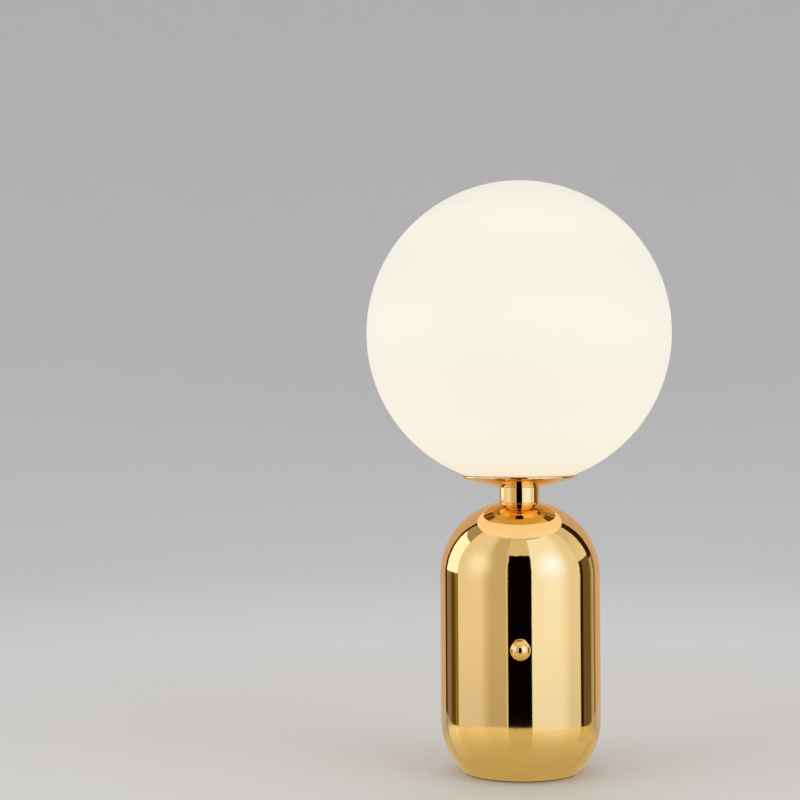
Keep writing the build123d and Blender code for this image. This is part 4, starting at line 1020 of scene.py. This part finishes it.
@dataclass
class Studio:
    """A pale cove with two tall softboxes beside the camera, and the surroundings of polished metal.

    Attributes:
        radius: distance of the softboxes from the lamp's axis.
        shoulder: height on the lamp that elevations are seen from.
        aim: height on the lamp that the lights shine at.
        drop: how far the softboxes reach below the table, so that the metal shows no end of them.
        room_radius: distance of the room's wall, which only the metal shows.
        room_height: height of its top.
        cove_radius: radius of the cove's floor.
        cove_bend: radius of the bend from its floor to its wall.
        cove_height: height of its wall.
        table_ahead: from the lamp's axis to the front edge of the table that the metal reflects.
        table_behind: from the axis to its back edge.
        table_beside: from the axis to its sides.
        table_corner: radius of its corners.
        table_bends: how many edges bend round a corner.
        table_drop: how far it lies under the cove's floor.
    """

    radius: float = 1.0
    shoulder: float = 0.17
    aim: float = 0.25
    drop: float = -0.7
    room_radius: float = 3.5
    room_height: float = 7.0
    cove_radius: float = 1.7
    cove_bend: float = 1.6
    cove_height: float = 3.0
    table_ahead: float = 0.32
    table_behind: float = 0.41
    table_beside: float = 0.28
    table_corner: float = 0.26
    table_bends: int = 8
    table_drop: float = 0.1 * MM

    def height_at(self, elevation: float) -> float:
        """Height on a sheet that shows at an elevation, seen from the lamp's shoulder."""
        return self.shoulder + self.radius * math.tan(math.radians(elevation))

    def on_sheet(self, azimuth: float, elevation: float) -> Place:
        """Point on a softbox, by its direction from the lamp.

        Args:
            azimuth: degrees from the camera's side, rightwards.
            elevation: degrees above the lamp's shoulder.

        Returns:
            The point, in metres.
        """
        turn = math.radians(azimuth)
        across, ahead = self.radius * math.sin(turn), -self.radius * math.cos(turn)
        return (across, ahead, self.height_at(elevation))

    def hang(self, sheets: dict[str, tuple[Span, tuple[float | None, float], Finish]]) -> None:
        """Builds upright sheets at the softboxes' distance.

        Args:
            sheets: by name, where each starts and ends, rightwards from the camera's side, its
                bottom and top, all in degrees, and its cover. A bottom of None is the softboxes'.
        """
        for name, (azimuths, (low, high), finish) in sheets.items():
            bottom = self.drop if low is None else self.height_at(low)
            heights = (bottom, self.height_at(high))
            StudioSheet(name, azimuths, heights, self.radius, finish).build()

    def softboxes(self) -> None:
        """Builds the cloth of the two tall softboxes and of the small one behind on the left."""
        # White woven cloth with a lamp behind it: warm grey, with a cool bright middle
        left = GlowingPanel(
            "softbox_cloth_left",
            "#B1AA98",
            "#D0CDCE",
            (-0.77, -0.52),
            middle="#E2EDFF",
            centre=self.on_sheet(-63, 17),
            reach=0.5,
            strength=1.3,
            foot=0.78,
        )
        # The same cloth over a stronger lamp: bluish, and twice as bright
        right = GlowingPanel(
            "softbox_cloth_right",
            "#A7AFBC",
            "#9B9B9B",
            (-0.56, -0.2),
            middle="#ABC6FF",
            centre=self.on_sheet(46, 17),
            reach=0.55,
            strength=2.45,
            foot=0.84,
        )
        # The same cloth, evenly lit: a cool white
        rear = GlowingPanel("softbox_cloth_rear", "#EEEFFC", strength=1.5)
        self.hang({
            "softbox_left": ((-97, -19), (None, 58), left),
            "softbox_right": ((16, 93), (None, 58), right),
            "softbox_rear_left": ((-127, -98), (0, 34), rear),
        })

    def surroundings(self) -> None:
        """Builds what only the metal shows: black flags, dark gaps and the warm room behind."""
        # Wall paint in shade: a dark brown stripe beside a softbox
        gap = GlowingPanel("gap_beside_softbox", "#2E1F12")
        # Glowing sheets for the walls on both sides, their light painted in: brown beside the lamp, and
        # paler towards the back
        right_far = GlowingPanel("side_wall_right_far", "#6B5A3A", "#B7AE98", (0.44, 0.53))
        left_far = GlowingPanel("side_wall_left_far", "#5F4818", "#8C7E78", (0.36, 0.48))
        # Glowing sheet for the white wall high on the right, its light painted in: brighter at its foot
        # than at its top
        right_high = GlowingPanel(
            "side_wall_right_high",
            "#F0EDE6",
            strength=0.75,
            foot=1.25,
            foot_heights=(self.height_at(15), self.height_at(40)),
        )
        self.hang({
            # Black flock on a board: the nearly black stripe in the middle of the metal
            "flag_front": ((-17, 16), (None, 33), GlowingPanel("flock_black", "#060302")),
            # The board's lit edge, and the wall above it: two shades of cream
            "flag_front_edge": ((-19, -17), (None, 58), GlowingPanel("flag_edge_lit", "#E4DCCD")),
            "wall_above_flag": ((-17, 16), (33, 58), GlowingPanel("wall_in_front", "#D8D2C4")),
            # Wall paint in other light: ochre and buff on the left, dark brown on the right
            "side_left_near": ((-104, -97), (None, 0), GlowingPanel("side_wall_left_near", "#8C7839")),
            "side_left_far": ((-127, -104), (None, 0), left_far),
            "side_left_high": ((-127, -97), (34, 62), GlowingPanel("side_wall_left_high", "#A59B82")),
            "side_right_near": ((93, 99), (None, 13), GlowingPanel("side_wall_right_near", "#2A1808")),
            "side_right_far": ((99, 127), (None, 9), right_far),
            "side_right_top": ((99, 119), (9, 13), right_far),
            "side_right_high": ((94, 119), (13, 62), right_high),
            "gap_left": ((-133, -127), (None, 62), gap),
            # Wall paint in half shade: a greyish brown
            "gap_right": ((127, 133), (None, 13), GlowingPanel("gap_right_lit", "#8A7462")),
            "gap_right_high": ((119, 133), (9, 62), gap),
        })
        # Warm wall paint behind the lamp: an even beige
        room = GlowingPanel("room_behind_warm", "#CDB298")
        heights = (self.drop * self.room_radius, self.room_height)
        StudioSheet("room_behind", (131, 229), heights, self.room_radius, room).build()

    def lamp(self, name: str, size: float, power: float, spot: Place) -> None:
        """Builds one soft round light that shines at the lamp's middle.

        Args:
            name: the light's name.
            size: its diameter, in metres.
            power: its power, in watts.
            spot: where it is.
        """
        light = bpy.data.lights.new(name, "AREA")
        light.shape = "DISK"
        light.size = size
        light.energy = power
        made = bpy.data.objects.new(name, light)
        made.location = spot
        aim = Vector((0, 0, self.aim)) - Vector(spot)
        made.rotation_euler = aim.to_track_quat("-Z", "Y").to_euler()
        made.visible_camera = False
        made.visible_glossy = False
        bpy.context.scene.collection.objects.link(made)

    def lamps(self) -> None:
        """Builds the ceiling light, the lights in both softboxes and a weak one behind."""
        self.lamp("ceiling_light", 2.2, 6.5, (0, 0, 1.9))
        self.lamp("softbox_light_left", 1.8, 7.5, (-1.5, -0.9, 1.5))
        self.lamp("softbox_light_right", 1.8, 8.0, (1.45, -1.05, 1.5))
        self.lamp("rear_light", 1.8, 3.5, (0.0, 1.6, 1.6))

    def cove(self) -> None:
        """Builds the floor and wall in one sweep, with a face for every 5 degrees of the bend."""
        outline = [(0.0, 0.0)]
        for turn in (math.radians(degrees) for degrees in range(0, 91, 5)):
            across = self.cove_radius + self.cove_bend * math.sin(turn)
            outline.append((across, self.cove_bend * (1 - math.cos(turn))))
        outline.append((outline[-1][0], self.cove_height))
        shape = spun(outline, closed=False)
        shade_smooth(shape)
        # Satin wall paint, waxed round the lamp: a pale grey with a trace of a mirror image
        paint = StudioPaint("cove_paint_pale", "#E2E3E4", "#E0E1E2", gloss=0.2, sheen=0.03, waxed=0.8)
        cove = finish_object("cove", shape, paint)
        cove.visible_glossy = False

    def table(self) -> None:
        """Builds the bedside table that the metal reflects, just under the cove's floor."""
        half = (self.table_ahead + self.table_behind) / 2
        shift = (self.table_behind - self.table_ahead) / 2
        shape = bmesh.new()
        bmesh.ops.create_grid(shape, x_segments=1, y_segments=1, size=1.0)
        bmesh.ops.scale(shape, verts=shape.verts, vec=(self.table_beside, half, 1))
        bmesh.ops.translate(shape, verts=shape.verts, vec=(0, shift, -self.table_drop))
        bmesh.ops.bevel(
            shape,
            geom=shape.verts[:],
            offset=self.table_corner,
            segments=self.table_bends,
            profile=0.5,
            affect="VERTICES",
            material=-1,
        )
        # Clear lacquer on a pale top, its light painted in as a glow: cream in front, greyer behind, and a
        # painted shadow at the foot
        top = TableTop("table_lacquer_and_painted_light", "#CEC197", "#9C9A94", (0.0, 0.12), shaded=0.72, reach=0.16)
        table = finish_object("table_in_reflections", shape, top)
        keep_to_reflections(table)

    def air(self) -> None:
        """Sets the even light of the room, darker and warmer below the table."""
        world = bpy.data.worlds.new("studio_air")
        world.use_nodes = True
        tree = world.node_tree
        tree.nodes.clear()
        rise = along(tree, "Z", (-0.1, 0.1), eased=False, coordinates="Generated")
        mixed = add_node(
            tree,
            "ShaderNodeMix",
            settings=IN_COLOUR,
            inputs={SHARE: rise, FIRST: linear("#A8917C"), SECOND: linear("#CBCAC7")},
        )
        inputs = {"Color": mixed.outputs[MIXED], "Strength": 1.0}
        light = add_node(tree, "ShaderNodeBackground", inputs=inputs)
        add_node(tree, "ShaderNodeOutputWorld", inputs={"Surface": light.outputs["Background"]})
        bpy.context.scene.world = world

    def build(self) -> None:
        """Builds the whole studio and sets plain colour management."""
        self.cove()
        self.table()
        self.softboxes()
        self.surroundings()
        self.lamps()
        self.air()
        bpy.context.scene.view_settings.view_transform = "Standard"
        log.info("studio: cove, table, softboxes, surroundings and lamps")


@dataclass
class Viewpoint:
    """The camera: level, straight in front, turned so that the lamp stands right of the middle.

    Attributes:
        distance: from the lamp's axis, in metres.
        height: above the table, in metres.
        lean: how far the lamp leans to the left in the photograph, in degrees.
        sensor: width of the sensor, in millimetres.
        image_pixels: width of the square image.
        focal_pixels: focal length in pixels.
        axis_pixel: where the lamp's axis shows, from the left.
        horizon_pixel: where the horizon shows, from the top.
        nearest: the nearest thing that shows, in metres.
        farthest: the farthest one.
    """

    distance: float = 1.440
    height: float = 0.2975
    lean: float = 0.35
    sensor: float = 36
    image_pixels: float = 800
    focal_pixels: float = 1745
    axis_pixel: float = 518.7
    horizon_pixel: float = 409.5
    nearest: float = 0.05
    farthest: float = 50

    def build(self) -> None:
        """Makes the camera and hands it to the scene."""
        lens = bpy.data.cameras.new("camera")
        lens.sensor_width = self.sensor
        lens.lens = self.sensor * self.focal_pixels / self.image_pixels
        lens.clip_start = self.nearest
        lens.clip_end = self.farthest
        middle = self.image_pixels / 2
        yaw = math.atan((self.axis_pixel - middle) / self.focal_pixels)
        pitch = math.atan((self.horizon_pixel - middle) / self.focal_pixels)
        camera = bpy.data.objects.new("camera", lens)
        camera.location = (0, -self.distance, self.height)
        turned = (
            Matrix.Rotation(yaw, 3, "Z")
            @ Matrix.Rotation(math.pi / 2 + pitch, 3, "X")
            @ Matrix.Rotation(math.radians(-self.lean), 3, "Z")
        )
        camera.rotation_euler = turned.to_euler()
        bpy.context.scene.collection.objects.link(camera)
        bpy.context.scene.camera = camera
        log.info("camera: %.0f mm lens, %.2f m away", lens.lens, self.distance)


def fit_piece(name: str, shape: Shape, slot: Slot, body: Body, *nodes: str) -> bpy.types.Object:
    """Puts a finished piece on its body, in place of the frame's own nodes.

    Args:
        name: the piece's name.
        shape: its geometry, in metres. It is freed.
        slot: the record's slot that it takes its finish from.
        body: the body that carries it.
        nodes: the nodes that it stands for.

    Returns:
        The piece.
    """
    shade_smooth(shape)
    piece = finish_object(name, shape, SLOT_FINISHES[slot])
    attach(piece, body.value)
    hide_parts(*nodes)
    log.info("built %s: %d faces", name, len(piece.data.polygons))
    return piece


def wall_points(low: float, high: float, count: int, radius: float) -> list[Span]:
    """Spaces points evenly up a straight wall.

    Args:
        low: height of the first point.
        high: height of the last one.
        count: how many gaps lie between them.
        radius: the wall's radius.

    Returns:
        Points for an outline, from the bottom up.
    """
    return [(radius, low + (high - low) * step / count) for step in range(count + 1)]


@dataclass
class RolledThread:
    """The round thread of a lamp cap, pressed into thin metal.

    Attributes:
        low: height where the thread starts.
        high: height where it ends.
        depth: how far its groove goes in.
        pitch: its rise in one turn.
        fade: height over which it runs out at either end.
    """

    low: float
    high: float
    depth: float
    pitch: float = 3.63 * MM
    fade: float = 1.6 * MM

    def press(self, shape: Shape) -> None:
        """Moves the wall of a spun sleeve in, along a right-hand helix.

        Args:
            shape: a sleeve with many rows between the thread's ends.
        """
        for corner in shape.verts:
            height = corner.co.z
            if not self.low < height < self.high:
                continue
            edge = min(height - self.low, self.high - height) / self.fade
            turn = math.atan2(corner.co.y, corner.co.x) / FULL_TURN
            wave = 0.5 - 0.5 * math.cos(FULL_TURN * (height / self.pitch - turn))
            radius = corner.co.xy.length
            shrunk = 1 - self.depth * wave * min(1.0, edge) / radius
            corner.co.x *= shrunk
            corner.co.y *= shrunk


@dataclass
class Foot:
    """The foam pad under the lamp.

    Attributes:
        rounding: how far its cut rim is rounded.
        fill: how tight the foam is. Not used.
    """

    rounding: float = 0.3 * MM
    fill: float = 0.9

    def build(self) -> None:
        """Builds the pad: a disc with a rounded rim."""
        low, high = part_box("foot_pad")
        side = [(0, low.z), (high.y, low.z), (high.y, high.z), (0, high.z)]
        shape = spun(side, closed=False, steps=WIDE_ROUND)
        soften(shape, [edge for edge in shape.edges if is_sharp(edge)], self.rounding)
        pad = fit_piece("foot_pad_foam", shape, Slot.FOAM_PAD, Body.BASE, "foot_pad")


@dataclass
class Gasket:
    """The silicone ring in the dish, under the edge of the shade.

    Attributes:
        thickness: of the ring.
        width: from its hole to its edge.
        bead: radius of the soft bead along both edges.
        steps: how many faces go across.
    """

    thickness: float = 0.6 * MM
    width: float = 5.5 * MM
    bead: float = 0.2 * MM
    steps: int = 6

    def build(self) -> None:
        """Builds the ring on the same centre as the shade."""
        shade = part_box("shade_globe")[1]
        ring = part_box("shade_gasket")[1]
        centre = shade.z - shade.x
        inner = math.hypot(ring.y, centre - ring.z)
        outer = inner + self.thickness
        radii = [ring.y - self.width * step / self.steps for step in range(self.steps + 1)]
        seat = [(radius, centre - math.sqrt(inner**2 - radius**2)) for radius in radii]
        back = [(radius, centre - math.sqrt(outer**2 - radius**2)) for radius in reversed(radii)]
        shape = spun(seat + back, steps=WIDE_ROUND)
        soften(shape, [edge for edge in shape.edges if is_sharp(edge)], self.bead)
        fit_piece("gasket_silicone", shape, Slot.SILICONE, Body.BASE, "shade_gasket")


@dataclass
class Lampholder:
    """The lampholder's sleeve and its threaded shell.

    Attributes:
        wall: thickness of the sleeve.
        grips: how many grip flutes it has.
        grip_depth: how deep a flute is.
        grip_width: half the width of a flute.
        grip_end: length over which a flute runs out.
        grip_faces: how many faces of the sleeve lie between two flutes' middles.
        grip_rows: how many rows of faces a flute has from end to end.
        rounding: of the sleeve's rim.
        rim: height of the rim that turns in at the mouth.
        mouth_gap: between the rim and the shell.
        sheet: thickness of the shell.
        shell_mouth: radius of the hole in the shell's floor.
        stem_radius: of the stem that goes through the insert.
        stem_faces: how many faces go round the stem.
        thread_depth: how far the shell's thread goes in.
        thread_start: height of the plain part below the thread.
        thread_end: height of the plain part above it.
        thread_rows: how many rows of faces the shell has from end to end.
    """

    wall: float = 2.0 * MM
    grips: int = 12
    grip_depth: float = 1.1 * MM
    grip_width: float = 1.3 * MM
    grip_end: float = 3.0 * MM
    grip_faces: int = 16
    grip_rows: int = 24
    rounding: float = 0.7 * MM
    rim: float = 1.5 * MM
    mouth_gap: float = 0.3 * MM
    sheet: float = 0.5 * MM
    shell_mouth: float = 8.0 * MM
    stem_radius: float = 0.9 * MM
    stem_faces: int = 24
    thread_depth: float = 0.5 * MM
    thread_start: float = 2.0 * MM
    thread_end: float = 0.6 * MM
    thread_rows: int = 66

    def flute(self, shape: Shape, radius: float, low: float, high: float) -> None:
        """Presses the grip flutes into the sleeve's wall. They run out at both ends.

        Args:
            shape: the sleeve.
            radius: its outer radius.
            low: height where the flutes start.
            high: height where they end.
        """
        spacing = FULL_TURN / self.grips
        for corner in shape.verts:
            if corner.co.xy.length < radius - self.wall / 2:
                continue
            turn = math.atan2(corner.co.y, corner.co.x) + spacing / 2
            aside = ((turn % spacing) - spacing / 2) * radius / self.grip_width
            ends = min(corner.co.z - low, high - corner.co.z) / self.grip_end
            if abs(aside) < 1 and ends > 0:
                groove = self.grip_depth * math.sqrt(1 - aside**2) * min(1.0, ends) ** 0.5
                corner.co.xy = corner.co.xy * (1 - groove / radius)

    def sleeve(self) -> None:
        """Builds the sleeve with its flutes and its rounded rim."""
        low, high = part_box("lampholder_body")
        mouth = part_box("screw_shell")[1].x + self.mouth_gap
        inner = high.x - self.wall
        brim = high.z - self.rim
        outline = wall_points(low.z, high.z, self.grip_rows, high.x)
        outline += [(mouth, high.z), (mouth, brim), (inner, brim), (inner, low.z)]
        shape = spun(outline, steps=self.grips * self.grip_faces)
        self.flute(shape, high.x, low.z, brim)
        rims = [
            edge
            for edge in shape.edges
            if is_sharp(edge) and all(abs(end.co.z - high.z) < TOUCHING for end in edge.verts)
        ]
        soften(shape, rims, self.rounding, segments=4)
        fit_piece(
            "lampholder_sleeve_fluted", shape, Slot.BLACK_THERMOPLASTIC, Body.BASE, "lampholder_body"
        )

    def shell(self) -> None:
        """Builds the threaded shell with its floor, and the stem of its terminal."""
        low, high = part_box("screw_shell")
        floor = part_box("lampholder_insert")[1].z
        upper = floor + self.sheet
        inside = wall_points(upper, high.z, self.thread_rows, high.x - self.sheet)
        outline = wall_points(floor, high.z, self.thread_rows, high.x) + inside[::-1]
        outline += [(self.shell_mouth, upper), (self.shell_mouth, floor)]
        shape = spun(outline)
        thread = RolledThread(floor + self.thread_start, high.z - self.thread_end, self.thread_depth)
        thread.press(shape)
        stem = bmesh.ops.create_cone(
            shape,
            cap_ends=True,
            segments=self.stem_faces,
            radius1=self.stem_radius,
            radius2=self.stem_radius,
            depth=floor - low.z,
        )
        place = ((self.shell_mouth + high.x) / 2, 0, (floor + low.z) / 2)
        bmesh.ops.translate(shape, verts=stem["verts"], vec=place)
        fit_piece("screw_shell_threaded", shape, Slot.NICKEL_PLATE, Body.BASE, "screw_shell")

    def build(self) -> None:
        """Builds the sleeve and the shell."""
        self.sleeve()
        self.shell()


@dataclass
class BulbCap:
    """The bulb's screw cap, its moulded insulator and the soldered contact.

    Attributes:
        sheet: thickness of the cap.
        curl: how far its lower edge curls in.
        hem: height of the curled edge.
        thread_depth: how deep its thread is.
        thread_rows: how many rows of faces it has above the hem.
        skirt: height of the plain part above the thread.
        rib_depth: how deep the steps of the insulator are.
        ribs: the steps, outwards in quarters of the insulator's width and up in their depth.
        solder: radius of the solder's crown.
        crown: its height, as a share of the contact's.
        crown_steps: how many faces its curve has.
        neck: the contact's edges above the solder, as shares of its radius and height.
    """

    sheet: float = 0.4 * MM
    curl: float = 0.8 * MM
    hem: float = 1.2 * MM
    thread_depth: float = 0.9 * MM
    thread_rows: int = 60
    skirt: float = 2.6 * MM
    rib_depth: float = 0.5 * MM
    ribs: tuple[Span, ...] = ((1.0, 0), (1.4, 1), (1.6, 3), (2.4, 4))
    solder: float = 2.4 * MM
    crown: float = 0.45
    crown_steps: int = 5
    neck: tuple[Span, ...] = ((0.92, 0.5), (1.0, 0.7))

    def sleeve(self) -> None:
        """Builds the cap with its rolled thread."""
        low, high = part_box("bulb_cap")
        start = low.z + self.hem
        inside = wall_points(start, high.z, self.thread_rows, high.x - self.sheet)
        outline = [
            (high.x - self.curl - self.sheet, low.z),
            (high.x - self.curl, low.z),
            (high.x - self.curl / 3, low.z + self.curl / 3),
            *wall_points(start, high.z, self.thread_rows, high.x),
            *reversed(inside),
        ]
        shape = spun(outline)
        RolledThread(start, high.z - self.skirt, self.thread_depth).press(shape)
        fit_piece("bulb_cap_rolled", shape, Slot.NICKEL_PLATE, Body.BULB, "bulb_cap")

    def insulator(self) -> None:
        """Builds the stepped insulator between the cap and the contact."""
        low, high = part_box("bulb_insulator")
        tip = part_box("bulb_contact")[1].x
        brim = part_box("bulb_cap")[1].x - self.curl - 2 * self.sheet
        step = (brim - tip) / 4
        outline = [
            (0, low.z),
            *((tip + out * step, low.z + up * self.rib_depth) for out, up in self.ribs),
            (brim - step / 2, high.z - 2 * self.rib_depth),
            (brim, high.z - self.rib_depth),
            (brim, high.z),
            (0, high.z),
        ]
        shape = spun(outline, closed=False)
        soften(shape, [edge for edge in shape.edges if is_sharp(edge)], self.rib_depth / 3)
        fit_piece("bulb_insulator_stepped", shape, Slot.EPOXY_BLACK, Body.BULB, "bulb_insulator")

    def contact(self) -> None:
        """Builds the contact with its crown of solder."""
        low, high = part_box("bulb_contact")
        rise = high.z - low.z
        outline = []
        for step in range(self.crown_steps + 1):
            turn = math.radians(90 / self.crown_steps * step)
            lifted = rise * self.crown * (1 - math.cos(turn))
            outline.append((self.solder * math.sin(turn), low.z + lifted))
        outline += [(high.x * out, low.z + rise * up) for out, up in self.neck]
        shape = spun([*outline, (high.x, high.z), (0, high.z)], closed=False, steps=SMALL_ROUND)
        fit_piece("bulb_contact_soldered", shape, Slot.NICKEL_PLATE, Body.BULB_TIP, "bulb_contact")

    def build(self) -> None:
        """Builds the cap, the insulator and the contact."""
        self.sleeve()
        self.insulator()
        self.contact()


def dress_frame() -> None:
    """Gives every node of the frame the finish of its material slot."""
    for name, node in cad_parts.items():
        for place in node.material_slots:
            place.material = SLOT_FINISHES[Slot(place.material.name)].material()
        log.info("dressed %s", name)


def main() -> None:
    """Builds the studio, the camera and the lamp's pieces, in that order."""
    logging.basicConfig(level=logging.INFO, format="%(message)s")
    Studio().build()
    Viewpoint().build()
    dress_frame()
    Foot().build()
    Gasket().build()
    Lampholder().build()
    BulbCap().build()


if __name__ == "__main__":
    main()
